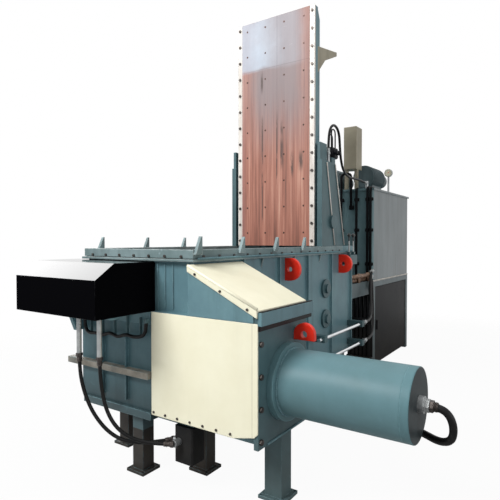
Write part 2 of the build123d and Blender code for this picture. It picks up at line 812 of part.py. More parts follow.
def panel_and_hood():
    """Cream panel on its rails before the side ram, and the folded hood with its lip over the housing."""
    inner_end = housing_x - end_plate
    back = panel_y + panel_sheet
    rail_low = panel_bottom + panel_chamfer_rise + panel_corner
    rails = [
        block(panel_left, inner_end, back, near_y, panel_top - panel_rail, panel_top),
        block(panel_left, inner_end, back, near_y, rail_low, rail_low + panel_rail),
        block(panel_left, panel_left + panel_rail, back, near_y, rail_low, panel_top),
        block(outer_x - panel_rail, outer_x, back, near_y, rail_low, panel_top),
    ]
    save("cover_frames", joined(rails))
    outline = [
        (panel_left, panel_bottom), (housing_x - panel_chamfer_run, panel_bottom),
        (housing_x - panel_corner, panel_bottom + panel_chamfer_rise), (housing_x, rail_low),
        (housing_x, panel_top), (panel_left, panel_top),
    ]
    save("side_panel", plate_xz(outline, panel_y, back))
    screws = []
    for x in spread(panel_left + panel_rail / 2, housing_x - panel_chamfer_run - panel_rail / 2,
                    panel_screws):
        screws.append(rod_y(panel_y, panel_y - screw_rise, x, panel_bottom + panel_rail / 2, screw_head))

    roof = side_top + slide_gap + housing_roof
    drop = (hood_top - hood_bottom) / (inner_end - rim_x)
    rise = [(rim_x, roof), (inner_end, roof), (inner_end, hood_bottom), (rim_x, hood_top)]
    frame = joined(
        [
            plate_xz(rise, panel_y, panel_y + hood_rib),
            plate_xz(rise, housing_far - hood_rib, housing_far),
            block(inner_end - hood_rib, inner_end, panel_y, housing_far, roof, hood_bottom),
            block(rim_x, rim_x + hood_rib, panel_y, housing_far, roof, hood_top - drop * hood_rib),
        ]
    )
    hood_low = hood_top - drop * (housing_x - rim_x)
    lip = block(
        housing_x, housing_x + hood_lip_out, panel_y, housing_far + hood_lip_past, hood_low - hood_lip,
        hood_low
    )
    save("cover_frames", frame, lip)
    sheet = [
        (rim_x, hood_top), (housing_x, hood_low), (housing_x, hood_low + hood_sheet), (rim_x,
                                                                                       hood_top + hood_sheet)
    ]
    fold = [
        (rim_x, hood_top - hood_fold), (housing_x, hood_low - hood_fold), (housing_x, hood_low), (rim_x,
                                                                                                  hood_top)
    ]
    fold_y = panel_y - hood_sheet
    save("hood_plate", plate_xz(sheet, fold_y, housing_far) + plate_xz(fold, fold_y, panel_y))
    for x in spread(rim_x + 2 * hood_fold, housing_x - 2 * hood_fold, hood_screws):
        z = hood_top - drop * (x - rim_x) - hood_fold / 2
        screws.append(rod_y(fold_y, fold_y - screw_rise, x, z, screw_head))
    save("cover_screws", *screws)


def bale_gate():
    """Sliding gate in front of the bale window, its guides, cylinder, saddles and black cover."""
    gate_back = near_y - slide_gap
    gate_low = floor_top + slide_gap
    plate = block(-gate_left, gate_right, gate_front, gate_back, gate_low, gate_top)
    ledge_front = gate_front - gate_ledge_depth
    ledge_top = gate_ledge_height + gate_ledge_plate
    ledge = block(-ledge_left, gate_right, ledge_front, gate_front, gate_ledge_height, ledge_top)
    ribs = []
    for x in spread(-gate_left, gate_right, gate_rib_count + 2)[1:-1]:
        rib_front = gate_front - gate_ledge_depth / 2
        lower = gate_low + guide_bite + gate_ledge_plate
        ribs.append(block(x, x + gate_rib, rib_front, gate_front, lower, gate_ledge_height))
        ribs.append(block(x, x + gate_rib, rib_front, gate_front, ledge_top, arm_low))

    eye = arm_eye / 2
    outline = [
        (gate_front, arm_low), (gate_front, arm_high), (gate_axis_y + eye, gate_axis_height + eye),
        (gate_axis_y - eye, gate_axis_height + eye), (gate_axis_y - eye, gate_axis_height - eye),
        (gate_front - arm_knee, arm_low + arm_knee_rise), (gate_front - arm_root, arm_low),
    ]
    arm_x = -gate_left + arm_plate
    arm = plate_yz(outline, -gate_left, arm_x)
    arm -= rod_x(-gate_left - cut_over, arm_x + cut_over, gate_axis_y, gate_axis_height, gate_rod / 2)
    save("gate_plate", plate, ledge, arm, *ribs)

    lip = gate_front - slide_gap
    upper = joined(
        [
            block(-guide_left, guide_right, lip - guide_lip, near_y, gate_top + slide_gap, guide_top),
            block(-guide_left, guide_right, lip - guide_lip, lip, gate_top - guide_bite, guide_top),
        ]
    )
    lower = joined(
        [
            block(-guide_left, guide_right, lip - guide_lip, near_y, floor_height, floor_top),
            block(-guide_left, guide_right, lip - guide_lip, lip, floor_height, gate_low + guide_bite),
        ]
    )
    save("gate_guides", upper, lower)

    head_left = -gate_tube_left - gate_head_length
    rod_end = -gate_left + arm_plate
    piston_end = gate_tube_right - gate_head_length
    stud = gate_rod / 2 - 2 * fit_gap
    rod = rod_x(rod_end, piston_end, gate_axis_y, gate_axis_height, gate_rod)
    rod += rod_x(-gate_left - gate_nut_length, rod_end, gate_axis_y, gate_axis_height, stud)
    rod += rod_x(piston_end - gate_piston, piston_end, gate_axis_y, gate_axis_height, gate_bore - 2 * fit_gap)
    save("gate_rod", rod)
    nut = hex_x(-gate_left - gate_nut_length, -gate_left, gate_axis_y, gate_axis_height, gate_rod)
    nut -= rod_x(-gate_left - 2 * gate_nut_length, rod_end, gate_axis_y, gate_axis_height, gate_rod / 2)
    save("gate_rod", nut)

    tube = rod_x(-gate_tube_left, gate_tube_right, gate_axis_y, gate_axis_height, gate_tube)
    tube += rod_x(head_left, -gate_tube_left + gate_head_length, gate_axis_y, gate_axis_height, gate_head)
    tube -= rod_x(-gate_tube_left, piston_end, gate_axis_y, gate_axis_height, gate_bore)
    tube -= rod_x(head_left - cut_over, 0, gate_axis_y, gate_axis_height, gate_rod + 2 * fit_gap)
    save("gate_cylinder", tube)

    ports = []
    seat = gate_tube + 2 * seat_gap
    for x, y, z in (gate_hose_a[0], gate_hose_b[0]):
        port = rod_z(z, gate_axis_height, x, y, gate_port)
        ports.append(port - rod_x(x - gate_port, x + gate_port, gate_axis_y, gate_axis_height, seat))
    save("hose_fittings", *ports)

    saddles = []
    for x in (-gate_tube_left + gate_tube, gate_tube_right - gate_tube / 2):
        low, high = guide_top, gate_axis_height + gate_tube / 2 + saddle_plate
        saddle = block(x, x + saddle_plate, gate_axis_y - gate_tube / 2 - saddle_plate, near_y, low, high)
        saddles.append(saddle - rod_x(x - cut_over, x + saddle_plate + cut_over, gate_axis_y,
                                      gate_axis_height, seat))
    save("gate_guides", *saddles)

    flat_y = near_y - cover_roof_depth
    outline = [
        (near_y, cover_top), (flat_y, cover_top), (cover_y, cover_brow), (cover_y, cover_bottom),
        (cover_y + cover_sheet, cover_bottom), (cover_y + cover_sheet, cover_brow - cover_sheet / 2),
        (flat_y + cover_sheet / 4, cover_top - cover_sheet), (near_y, cover_top - cover_sheet),
    ]
    cover = plate_yz(outline, -cover_left, cover_right)
    end = [
        (near_y, cover_top), (flat_y, cover_top), (cover_y, cover_brow), (cover_y, cover_bottom),
        (near_y, cover_bottom),
    ]
    save("gate_cover", cover + plate_yz(end, cover_right - cover_sheet, cover_right))


def leg(x, y, size, foot, top):
    post = block(x - size / 2, x + size / 2, y - size / 2, y + size / 2, foot_plate, top)
    inside = size / 2 - leg_wall
    post -= block(x - inside, x + inside, y - inside, y + inside, foot_plate - cut_over, top + cut_over)
    plate = block(x - foot / 2, x + foot / 2, y - foot / 2, y + foot / 2, 0, foot_plate)
    hole = (size + foot) / 4
    for dx in (-hole, hole):
        for dy in (-hole, hole):
            plate -= rod_z(-cut_over, foot_plate + cut_over, x + dx, y + dy, anchor_hole)
    return post, plate


def legs_and_base():
    """Base rails under the floor, the legs, and the manifold that the gate hoses run to."""
    rail_low = floor_height - base_rail_depth
    rails = []
    rail_x = outer_x - base_rail_inset
    for side in (-1, 1):
        rails.append(
            block(side * (rail_x - base_rail), side * rail_x, near_y + base_rail, far_y, rail_low,
                  floor_height)
        )
    save("base_legs", *rails)
    save("base_legs", *leg(near_leg_x, near_y - near_leg_out + leg_size / 2, leg_size, leg_foot,
                           floor_height))
    leg_x = rail_x - base_rail / 2
    rear = []
    for side in (-1, 1):
        for y in (near_y + base_rail + leg_foot, (near_y + far_y) / 2, far_y - leg_foot):
            rear.extend(leg(side * leg_x, y, leg_size, leg_foot, rail_low))
    save("base_legs", *rear)
    housing_low = side_bottom - slide_gap - housing_floor
    centre_x = housing_x - centre_leg_back
    save("centre_leg", *leg(centre_x, side_mid, centre_leg_size, centre_leg_foot, housing_low))

    front = near_y - manifold_depth / 4
    manifold = block(
        manifold_x - manifold_width / 2, manifold_x + manifold_width / 2, front, front + manifold_depth,
        manifold_low, floor_height,
    )
    edges = manifold.edges().filter_by(Axis.Z)
    save("manifold", chamfer(edges, manifold_width / 15))
    left = manifold_x - manifold_width / 2
    end_a, end_b = gate_hose_a[-1], gate_hose_b[-1]
    save(
        "hose_fittings",
        rod_x(end_a[0], left, end_a[1], end_a[2], manifold_port),
        rod_y(end_b[1], front, end_b[0], end_b[2], manifold_port),
    )


def lifting_lugs():
    """Red D-shaped lifting lugs on the right wall, and one on the housing's end plate."""
    def wall_lug(y, z):
        centre_x = outer_x + lug_radius / 2
        plate = rod_y(y - lug_plate_red / 2, y + lug_plate_red / 2, centre_x, z, 2 * lug_radius)
        plate += block(
            outer_x, centre_x, y - lug_plate_red / 2, y + lug_plate_red / 2, z - lug_radius, z + lug_radius
        )
        plate -= block(0, outer_x, y - lug_plate_red, y + lug_plate_red, z - 2 * lug_radius,
                       z + 2 * lug_radius)
        return plate - rod_y(y - lug_plate_red, y + lug_plate_red, centre_x, z, lug_hole)

    for share in lug_bay_shares:
        save("lifting_lugs", wall_lug(rib_first + rib_bay * share, wall_lug_z))

    middle_x = housing_x + front_lug_width / 2
    y = side_mid + front_lug_side
    near, far = y - lug_plate_red / 2, y + lug_plate_red / 2
    low = side_axis_height + side_tube / 2 + side_flange_margin + slide_gap
    eye_z = low + front_lug_rise
    plate = block(housing_x, housing_x + front_lug_width, near, far, low, eye_z)
    plate += rod_y(near, far, middle_x, eye_z, front_lug_width)
    plate -= block(housing_x, housing_x + front_lug_width, near, far, low - front_lug_width, low)
    save("lifting_lugs", plate - rod_y(near - cut_over, far + cut_over, middle_x, eye_z, lug_hole))


def wall_fittings():
    """Round covers, pipes with clamps, and the two-lever valve on the right wall."""
    discs = []
    disc_y = rib_first + rib_bay * disc_bay_share
    for z in disc_heights:
        disc = rod_x(outer_x, outer_x + cover_disc_plate, disc_y, z, cover_disc)
        discs.append(disc + rod_x(outer_x, outer_x + 2 * cover_disc_plate, disc_y, z, cover_disc / 2))
    save("wall_fittings", *discs)

    pipe_x = outer_x + pipe_out
    near_clamp = rib_first + 2 * rib_bay + rib_plate
    far_clamp = rib_first + (rib_count - 1) * rib_bay - rib_plate - pipe_clamp
    pipe_near, pipe_far = near_clamp - pipe_clamp, far_clamp + 2 * pipe_clamp
    save("hydraulic_pipes", *[rod_y(pipe_near, pipe_far, pipe_x, z, pipe_size) for z in pipe_heights])
    clamps = []
    for y in (near_clamp, far_clamp):
        for z in pipe_heights:
            half = pipe_clamp / 2
            clamp = block(outer_x, pipe_x + half, y, y + pipe_clamp, z - half, z + half)
            seat = pipe_size + 2 * seat_gap
            clamps.append(clamp - rod_y(y - cut_over, y + pipe_clamp + cut_over, pipe_x, z, seat))
    save("wall_fittings", *clamps)

    valve_x = outer_x + valve_width
    valve_y = rib_first + rib_bay * valve_bay_share
    block_high = valve_low + valve_height
    valve = block(outer_x, valve_x, valve_y - valve_depth / 2, valve_y + valve_depth / 2, valve_low,
                  block_high)
    pivot_x = outer_x + valve_width * pivot_share
    pivot_z = block_high + lever_size
    for name, side in (("near_lever", -1), ("far_lever", 1)):
        y = valve_y + side * lever_spacing / 2
        near, far = y - lever_size, y + lever_size
        yoke = block(pivot_x - lever_size, pivot_x + lever_size, near, far, block_high, pivot_z + lever_size)
        yoke -= block(
            pivot_x - 2 * lever_size, pivot_x + 2 * lever_size, y - lever_size / 2 - slide_gap / 4,
            y + lever_size / 2 + slide_gap / 4, block_high, pivot_z + 2 * lever_size,
        )
        valve += yoke + rod_y(near, far, pivot_x, pivot_z, lever_pin)
        eye = lever_pin + lever_size * eye_share
        lever = rod_y(y - lever_size / 2, y + lever_size / 2, pivot_x, pivot_z, eye)
        lever += rod_z(pivot_z, pivot_z + lever_length, pivot_x, y, lever_size * stem_share)
        lever += Pos(pivot_x, y, pivot_z + lever_length) * Sphere(knob_size / 2)
        save(name, lever - rod_y(near - cut_over, far + cut_over, pivot_x, pivot_z, lever_pin + 2 * fit_gap))
    save("lever_valve", valve)


def oil_tank():
    """Stand over the first cylinder with panels and a door, the tank on it and what the tank carries."""
    posts = []
    for x in (-tank_x, tank_x - stand_post):
        for y in (tank_near, tank_far - stand_post):
            posts.append(block(x, x + stand_post, y, y + stand_post, 0, tank_low))
    beam_low = tank_low - stand_rail
    for x in (-tank_x, tank_x - stand_post):
        posts.append(block(x, x + stand_post, tank_near, tank_far, beam_low, tank_low))
    for y in (tank_near, tank_far - stand_post):
        posts.append(block(-tank_x, tank_x, y, y + stand_post, beam_low, tank_low))
    cradle = first_axis_height - first_tube / 2
    for y in (tank_near, tank_far - stand_post):
        posts.append(block(-tank_x, tank_x, y, y + stand_post, cradle - stand_rail, cradle - seat_gap))
    save("tank_stand", joined(posts))
    tie_x = tank_x - stand_post
    for side in (-1, 1):
        save("tank_stand", block(side * tie_x, side * (tie_x + tie_plate), far_y, tank_near, tie_low,
                                 tie_high))

    inset = stand_sheet + door_gap
    save(
        "stand_panels",
        block(
            -tank_x, -tank_x + stand_sheet, tank_near + stand_post, tank_far - stand_post,
            stand_foot_gap, beam_low
        ),
        block(-tank_x + stand_post, tank_x - stand_post, tank_far - stand_sheet, tank_far, cradle, beam_low),
    )

    door_near, door_far = tank_near + stand_post + door_gap, tank_far - stand_post - door_gap
    door = block(tank_x - inset, tank_x - door_gap, door_near, door_far, stand_foot_gap, beam_low - door_gap)
    handle_y = door_near + door_handle / 2
    grip_z = (stand_foot_gap + beam_low) / 2
    grip = tank_x - door_gap + door_handle_size
    door += block(
        tank_x - door_gap, grip, handle_y, handle_y + door_handle_size, grip_z - door_handle / 2,
        grip_z + door_handle / 2,
    )
    door += rod_z(stand_foot_gap, beam_low - seat_gap, tank_x - inset, door_far - stand_sheet,
                  2 * stand_sheet)
    save("stand_door", door)

    shell = block(-tank_x, tank_x, tank_near, tank_far, tank_low, tank_high)
    over = tank_lid_over
    top = tank_high + tank_lid
    tank = fillet(shell.edges().filter_by(Axis.Z), tank_lid)
    save("oil_tank", tank + block(-tank_x - over, tank_x + over, tank_near - over, tank_far + over,
                                  tank_high, top))

    axis_z = top + motor_foot + motor_size / 2
    motor_near = tank_near + tank_length * motor_near_share
    for side in (-1, 1):
        x = side * tank_x * motor_side_share
        body = rod_y(motor_near, motor_near + motor_length, x, axis_z, motor_size - 2 * fin_depth)
        for y in spread(motor_near + fin_depth, motor_near + motor_length - fin_depth, fin_count):
            body += rod_y(y - fin_depth / 4, y + fin_depth / 4, x, axis_z, motor_size)
        foot = motor_size / 3
        motor_far = motor_near + motor_length
        body += block(x - foot, x + foot, motor_near + motor_foot, motor_far - motor_foot, top, axis_z - foot)
        body += rod_y(motor_far, motor_far + motor_foot, x, axis_z, pump_size + motor_foot)
        save("motor_pumps", body)
        pump_start = motor_far + motor_foot
        pump = rod_y(pump_start, pump_start + pump_length, x, axis_z, pump_size)
        pump += block(x - motor_foot, x + motor_foot, pump_start + motor_foot,
                      pump_start + 3 * motor_foot, top, axis_z)
        save("motor_pumps", pump)

    stack_y = tank_far - valve_stack * stack_place_share
    spool_z = top + valve_stack_height * spool_height_share
    stack = block(-valve_stack / 2, valve_stack / 2, stack_y, stack_y + valve_stack, top,
                  top + valve_stack_height)
    for step in (-1, 0, 1):
        x = step * valve_stack / 3
        stack += rod_y(stack_y - valve_stack / 2, stack_y + valve_stack, x, spool_z, valve_stack / 4)
    save("valve_stack", stack)

    gauge_x, gauge_y = tank_x - gauge_size, tank_near + tank_length * gauge_share
    dial_z = top + gauge_height
    stem = rod_z(top, dial_z, gauge_x, gauge_y, gauge_stem)
    gauge = rod_y(gauge_y - gauge_plate / 2, gauge_y + gauge_plate / 2, gauge_x, dial_z, gauge_size)
    save("pressure_gauge", stem - gauge, gauge)
    cap_y = tank_far - breather_size
    cap = rod_z(top, top + breather_height, -gauge_x, cap_y, breather_size)
    save("valve_stack", fillet(cap.edges().group_by(Axis.Z)[-1], breather_height / 6))

    box_x, box_y = switch_box_width / 2, tank_near + box_post
    posts = [
        block(x, x + box_post, box_y + box_post, box_y + 2 * box_post, top, top + box_post_height)
        for x in (box_x, box_x + switch_box_width - box_post)
    ]
    high = top + box_post_height
    case = block(box_x, box_x + switch_box_width, box_y, box_y + switch_box_depth, high,
                 high + switch_box_height)
    save("switch_box", fillet(case.edges(), box_post / 5), *posts)


def hose(name, points, size):
    """A hose along straight runs joined by arcs as large as the runs allow."""
    route = [Vector(*point) for point in points]
    radii = []
    for before, here, after in zip(route, route[1:], route[2:]):
        turn = radians((here - before).get_angle(after - here))
        shorter = min((here - before).length, (after - here).length)
        radii.append(bend_share * shorter / tan(turn / 2))
    path = FilletPolyline(*route, radius=radii)
    start = Plane(origin=route[0], z_dir=route[1] - route[0])
    tube = sweep(start * Circle(size / 2), path=path)
    print(name, "length", round(path.length), "volume share",
          round(tube.volume / (pi * size**2 / 4 * path.length), 4))
    print(name, "radii", [round(radius) for radius in radii])
    save(name, tube)


def hoses():
    hose("gate_hose_left", gate_hose_a, gate_hose)
    hose("gate_hose_right", gate_hose_b, gate_hose)
    hose("side_cylinder_hose", side_hose_route, side_hose)
    hose("tower_hose", tower_hose_route, tower_hose)
    x, y, z = side_hose_route[-1]
    saddle = rod_x(x - port_nut, x, y, z, port_boss)
    save("hose_fittings", saddle - rod_x(housing_x, cap_x, side_mid, side_axis_height,
                                         side_tube + 2 * seat_gap))
    x, y, z = tower_hose_route[0]
    save("hose_fittings", rod_z(rim_top + tower_height, z, x, y, tower_hose * fitting_share))
    x, y, z = tower_hose_route[-1]
    motor_top = tank_high + tank_lid
    stub = rod_z(motor_top, z + tower_hose, x, y + tower_hose, tower_hose * ram_boss_share)
    save("hose_fittings", stub + rod_y(y, y + tower_hose, x, z, tower_hose * fitting_share))


os.makedirs("parts", exist_ok=True)
charging_box()
rim()
liners()
lid()
hinge_towers()
lid_cylinder()
first_ram()
side_ram()
panel_and_hood()
bale_gate()
legs_and_base()
lifting_lugs()
wall_fittings()
oil_tank()
hoses()
export_nodes()
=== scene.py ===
import bpy, bmesh, math
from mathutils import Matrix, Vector


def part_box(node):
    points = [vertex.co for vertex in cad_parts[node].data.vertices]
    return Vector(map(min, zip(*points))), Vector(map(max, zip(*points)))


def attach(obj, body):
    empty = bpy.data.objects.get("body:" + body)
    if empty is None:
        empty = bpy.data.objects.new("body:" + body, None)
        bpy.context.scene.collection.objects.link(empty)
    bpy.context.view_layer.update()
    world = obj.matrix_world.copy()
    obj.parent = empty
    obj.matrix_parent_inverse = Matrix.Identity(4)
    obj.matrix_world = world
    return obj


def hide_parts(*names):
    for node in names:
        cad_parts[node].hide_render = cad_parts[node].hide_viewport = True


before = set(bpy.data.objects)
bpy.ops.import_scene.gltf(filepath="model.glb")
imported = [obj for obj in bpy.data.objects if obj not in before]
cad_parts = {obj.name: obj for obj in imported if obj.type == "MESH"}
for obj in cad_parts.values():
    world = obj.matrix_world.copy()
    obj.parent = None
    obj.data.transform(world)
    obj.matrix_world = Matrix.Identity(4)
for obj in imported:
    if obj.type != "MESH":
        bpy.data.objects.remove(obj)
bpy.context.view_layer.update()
print("frame loaded:", len(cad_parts), "nodes")

# the charging box's own origin: middle of its width, a set way in from its near end, on the ground
boxLook = {"nearEnd": 0.912}
floorLow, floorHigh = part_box("chamber_floor")
boxMiddle = Vector(((floorLow.x + floorHigh.x) / 2, floorLow.y + boxLook["nearEnd"], 0))


def atBox(x, y, z):
    return boxMiddle + Vector((x, y, z))


# colours are hex codes or linear triples
def tone(colour):
    if not isinstance(colour, str):
        return colour
    parts = [int(colour[i:i + 2], 16) / 255 for i in (1, 3, 5)]
    return tuple(c / 12.92 if c <= 0.04045 else ((c + 0.055) / 1.055) ** 2.4 for c in parts)


def shade(colour, level):
    return tuple(min(1.0, c * level) for c in tone(colour))


# an object for a mesh, curve, lamp or camera, linked into the scene
def addObject(name, data):
    made = bpy.data.objects.new(name, data)
    bpy.context.scene.collection.objects.link(made)
    return made


# shader maths: a socket that takes + - * / > < and abs, and adds the Math nodes
class Wire:
    def __init__(self, paint, socket):
        self.paint, self.socket = paint, socket

    def math(self, operation, first, second):
        return self.paint.node("ShaderNodeMath", {0: first, 1: second}, operation=operation)

    def __add__(self, other): return self.math("ADD", self, other)
    def __sub__(self, other): return self.math("SUBTRACT", self, other)
    def __rsub__(self, other): return self.math("SUBTRACT", other, self)
    def __mul__(self, other): return self.math("MULTIPLY", self, other)
    def __truediv__(self, other): return self.math("DIVIDE", self, other)
    def __gt__(self, other): return self.math("GREATER_THAN", self, other)
    def __lt__(self, other): return self.math("LESS_THAN", self, other)
    def __abs__(self): return self.paint.node("ShaderNodeMath", {0: self}, operation="ABSOLUTE")


class Paint:
    family = "ShaderNode"
    socketNames = {"colour": "Base Color", "rough": "Roughness", "metal": "Metallic", "coat": "Coat Weight",
                   "coatRough": "Coat Roughness", "normal": "Normal", "specular": "Specular IOR Level"}

    def __init__(self, name, tree=None):
        self.material = None if tree else bpy.data.materials.new(name)
        if self.material:
            self.material.use_nodes = True
        self.tree = tree or self.material.node_tree
        self.place = self.node("TexCoord", {}, "Object")

    # a value or a link into a socket
    def feed(self, socket, value):
        if isinstance(value, Wire):
            self.tree.links.new(value.socket, socket)
        else:
            socket.default_value = value

    # every node of every tree comes from here: its type, of the tree's own family if it names none,
    # what its sockets get, the socket that leads on, and its settings
    def node(self, kind, inputs, out=0, **settings):
        made = self.tree.nodes.new(kind if "Node" in kind else self.family + kind)
        for key, value in settings.items():
            if key == "stops":
                ramp = made.color_ramp.elements
                while len(ramp) < len(value):
                    ramp.new(0.5)
                for stop, (at, colour) in zip(ramp, value):
                    stop.position = at
                    stop.color = (*tone(colour), 1)
            else:
                setattr(made, key, value)
        for key, value in inputs.items():
            self.feed(made.inputs[key], value)
        return Wire(self, made.outputs[out])

    def set(self, **sockets):
        shader = self.tree.nodes["Principled BSDF"]
        for key, value in sockets.items():
            self.feed(shader.inputs[self.socketNames[key]], value)
        return self.material

    def noise(self, scale, detail, rough, stretch=(1, 1, 1)):
        spot = self.node("Mapping", {0: self.place, "Scale": stretch})
        return self.node("TexNoise", {"Vector": spot, "Scale": scale, "Detail": detail, "Roughness": rough},
                         "Fac")

    def cells(self, scale):
        return self.node("TexVoronoi", {"Vector": self.place, "Scale": scale}, "Distance")

    def ramp(self, value, *stops):
        return self.node("ValToRGB", {0: value}, "Color", stops=stops)

    def step(self, value, low, high):
        return self.node("MapRange", {"Value": value, "From Min": low, "From Max": high}, "Result",
                         interpolation_type="SMOOTHSTEP")

    def mix(self, factor, first, second):
        first, second = (c if isinstance(c, Wire) else (*tone(c), 1) for c in (first, second))
        return self.node("Mix", {0: factor, 6: first, 7: second}, 2, data_type="RGBA")

    # the place along an axis, from the charging box's origin
    def axis(self, letter):
        return self.node("SeparateXYZ", {0: self.place}, letter) - boxMiddle["XYZ".index(letter)]

    def bump(self, height, strength, depth, under=None):
        inputs = {"Height": height, "Strength": strength, "Distance": depth}
        if under:
            inputs["Normal"] = under
        return self.node("Bump", inputs, "Normal")

    # a rounded edge's normal, and how far it leans away from the flat face: 0 on the flat, 1 on an edge
    def roundEdge(self, radius):
        soft = self.node("Bevel", {"Radius": radius}, "Normal", samples=4)
        flat = self.node("NewGeometry", {}, "Normal")
        lean = self.node("VectorMath", {0: soft, 1: flat}, "Value", operation="DOT_PRODUCT")
        return soft, self.step(lean, 0.995, 0.80)


# painted steel: mottled colour, drips, scuffs, dust low down, and paler edges that are partly worn paint and
# partly painted highlight
enamelLook = {"mottle": 2.2, "drips": 8.0, "scuff": 16.0, "chips": 20, "grain": 240.0, "sag": 3.5, "dust": 5,
              "dustTop": 0.8, "dustTone": (0.085, 0.075, 0.06), "edge": 0.008}


def enamel(name, light, dark, rough=0.42, dust=0.5, coat=0.06, scuffed=0.16, edgeWearHighlightTone=None, edgeWearAndHighlight=0.6,
           band=None, specular=0.28, drip=0.4, paintedShadeBelow=None, grain=(1, 1, 1)):
    p = Paint(name)
    mottle = p.noise(enamelLook["mottle"], 5, 0.6)
    drips = p.noise(enamelLook["drips"], 4, 0.6, (1, 1, 0.12))
    scuffs = p.step(p.noise(enamelLook["scuff"], 8, 0.72), 0.58, 0.72)
    low = 1 - p.step(p.axis("Z"), 0.0, enamelLook["dustTop"])
    body = p.mix(p.step(mottle, 0.3, 0.7), dark, light)
    if band:  # another colour between two places on an axis: a bare ledge, a black foot, and painted shade on sides and folds
        letter, start, end, pale, deep = band
        along = p.axis(letter)
        # the band's cloudy tone; grain stretches it, into vertical streaks of painted sheen on the tank's side
        cloud = p.step(p.noise(9, 6, 0.65, grain), 0.3, 0.7)
        body = p.mix((along > start) * (along < end), body, p.mix(cloud, pale, deep))
    streaked = p.mix(p.step(drips, 0.50, 0.74) * drip, body, shade(dark, 0.5))
    if paintedShadeBelow:  # painted shade that deepens downwards between two heights, mottled
        bottom, top, strength = paintedShadeBelow
        thick = (1 - p.step(p.axis("Z"), bottom, top)) * (p.noise(4, 5, 0.6, (1, 1, 0.3)) * 0.5 + 0.5)
        streaked = p.mix(thick * strength, streaked, shade(dark, 0.12))
    worn = p.mix(scuffs * scuffed, streaked, shade(light, 1.6))
    dusty = p.mix(low * p.noise(enamelLook["dust"], 5, 0.6) * dust, worn, enamelLook["dustTone"])
    soft, edge = p.roundEdge(enamelLook["edge"])
    # paler rounded edges, in chips: partly worn paint, partly painted highlight
    chips = edge * p.step(p.noise(enamelLook["chips"], 6, 0.7), 0.34, 0.62)
    edged = p.mix(chips * edgeWearAndHighlight, dusty, edgeWearHighlightTone or shade(light, 2.1))
    fine = p.bump(p.noise(enamelLook["grain"], 2, 0.5), 0.08, 0.0006, soft)
    normal = p.bump(p.noise(enamelLook["sag"], 2, 0.4), 0.10, 0.004, fine)
    return p.set(colour=edged, rough=mottle * 0.16 + (rough - 0.06) + scuffs * 0.12, coat=coat, coatRough=0.2,
                 specular=specular, normal=normal)


# where one paint gives way to another, from the charging box's origin
paintLook = {"capShadedFace": (1.8365, 9.0), "knob": (1.585, 1.9), "gateLedge": (0.679, 0.7245),
             "blackFoot": (-0.1, 0.3), "tankShadedSide": (0.4935, 9.0), "panelFoldShade": (1.008, 1.0115),
             "wallPaintedShade": (0.42, 0.86, 1.0), "tankSheenStreaks": (1, 0.30, 0.05)}
tealLight, tealDark = "#688a91", "#577780"
tubeLook = {"light": "#5e7f86", "dark": "#557479", "dust": 0.1, "coat": 0.0, "scuffed": 0.05}
creamLook = {"light": "#ebe8d0", "dark": "#e4e0c6", "rough": 0.4, "dust": 0.10, "coat": 0.05, "scuffed": 0.04,
             "edgeWearHighlightTone": "#fffdf2", "edgeWearAndHighlight": 0.5, "drip": 0.05}

tealPaint = enamel("tealEnamel", tealLight, tealDark)
# a darker copy of the teal: painted shade for the towers, end plate and other parts that stand in shade
paintedShadeTeal = enamel("paintedShadeTealEnamel", "#4d686d", "#3b5358", rough=0.45, dust=0.6)
rimPaint = enamel("weatheredRimEnamel", "#84979a", "#5c6f70", rough=0.5, dust=0.2, coat=0.0, scuffed=0.75,
                  edgeWearHighlightTone="#cdd3d0", edgeWearAndHighlight=0.9)
tubePaint = enamel("cylinderEnamel", **tubeLook, specular=0.2, drip=0.1)
# the cap's end face is painted dark grey: painted shade on the side away from the light
capPaint = enamel("cylinderCapEnamel", **tubeLook, specular=0.12,
                  band=("X", *paintLook["capShadedFace"], "#30383a", "#282e30"))
leverPaint = enamel("leverEnamel", "#d5d7d4", "#b5b8b6", rough=0.35, dust=0.0, scuffed=0.0,
                    edgeWearAndHighlight=0.0, band=("Z", *paintLook["knob"], "#0d0d0e", "#18181a"))
# the gate and the near wall get painted shade that deepens towards their feet
gatePaint = enamel("gateEnamel", "#5b7c84", "#496972", rough=0.45, dust=0.4,
                   band=("Z", *paintLook["gateLedge"], "#a9a498", "#7d776c"), paintedShadeBelow=paintLook["wallPaintedShade"])
nearPaint = enamel("nearWallEnamel", tealLight, tealDark, paintedShadeBelow=paintLook["wallPaintedShade"])
# the legs are black below 0.3 m
legPaint = enamel("legEnamel", "#4a656b", "#3a5258", rough=0.5,
                  band=("Z", *paintLook["blackFoot"], "#26211e", "#141314"))
darkPaint = enamel("darkPanelEnamel", "#1d1e20", "#131416", rough=0.4, dust=0.3, coat=0.0, scuffed=0.05,
                   edgeWearHighlightTone="#5a5d62", edgeWearAndHighlight=0.4, specular=0.04)
standPaint = enamel("standGreyEnamel", "#59686c", "#435154", rough=0.45, dust=0.4)
# the tank's +X side is painted darker as painted shade, with vertical streaks of painted sheen
tankPaint = enamel("tankEnamel", "#7d999e", "#688388", rough=0.3, dust=0.3, coat=0.1, scuffed=0.05,
                   band=("X", *paintLook["tankShadedSide"], "#5f6b6e", "#364347"), grain=paintLook["tankSheenStreaks"])
creamPaint = enamel("creamEnamel", **creamLook)
# the cream panel's fold is painted darker: painted shade in the crease
panelPaint = enamel("creamPanelEnamel", **creamLook,
                    band=("X", *paintLook["panelFoldShade"], "#b4b09a", "#cfcab2"))
beigePaint = enamel("beigeEnamel", "#a39c88", "#8d8674", rough=0.5, dust=0.2)
redPaint = enamel("signalRedEnamel", "#f8361f", "#e62a16", rough=0.4, dust=0.0, coat=0.1, scuffed=0.08,
                  edgeWearHighlightTone="#ff7a5e", edgeWearAndHighlight=0.5)
print("enamels made")


# the gate cover is polished only on its roof, where the plate leans back
blackLook = {"sheen": 3.0, "dust": 26, "grain": 260, "ripple": 2.6, "edge": 0.006, "lean": (0.25, 0.45)}


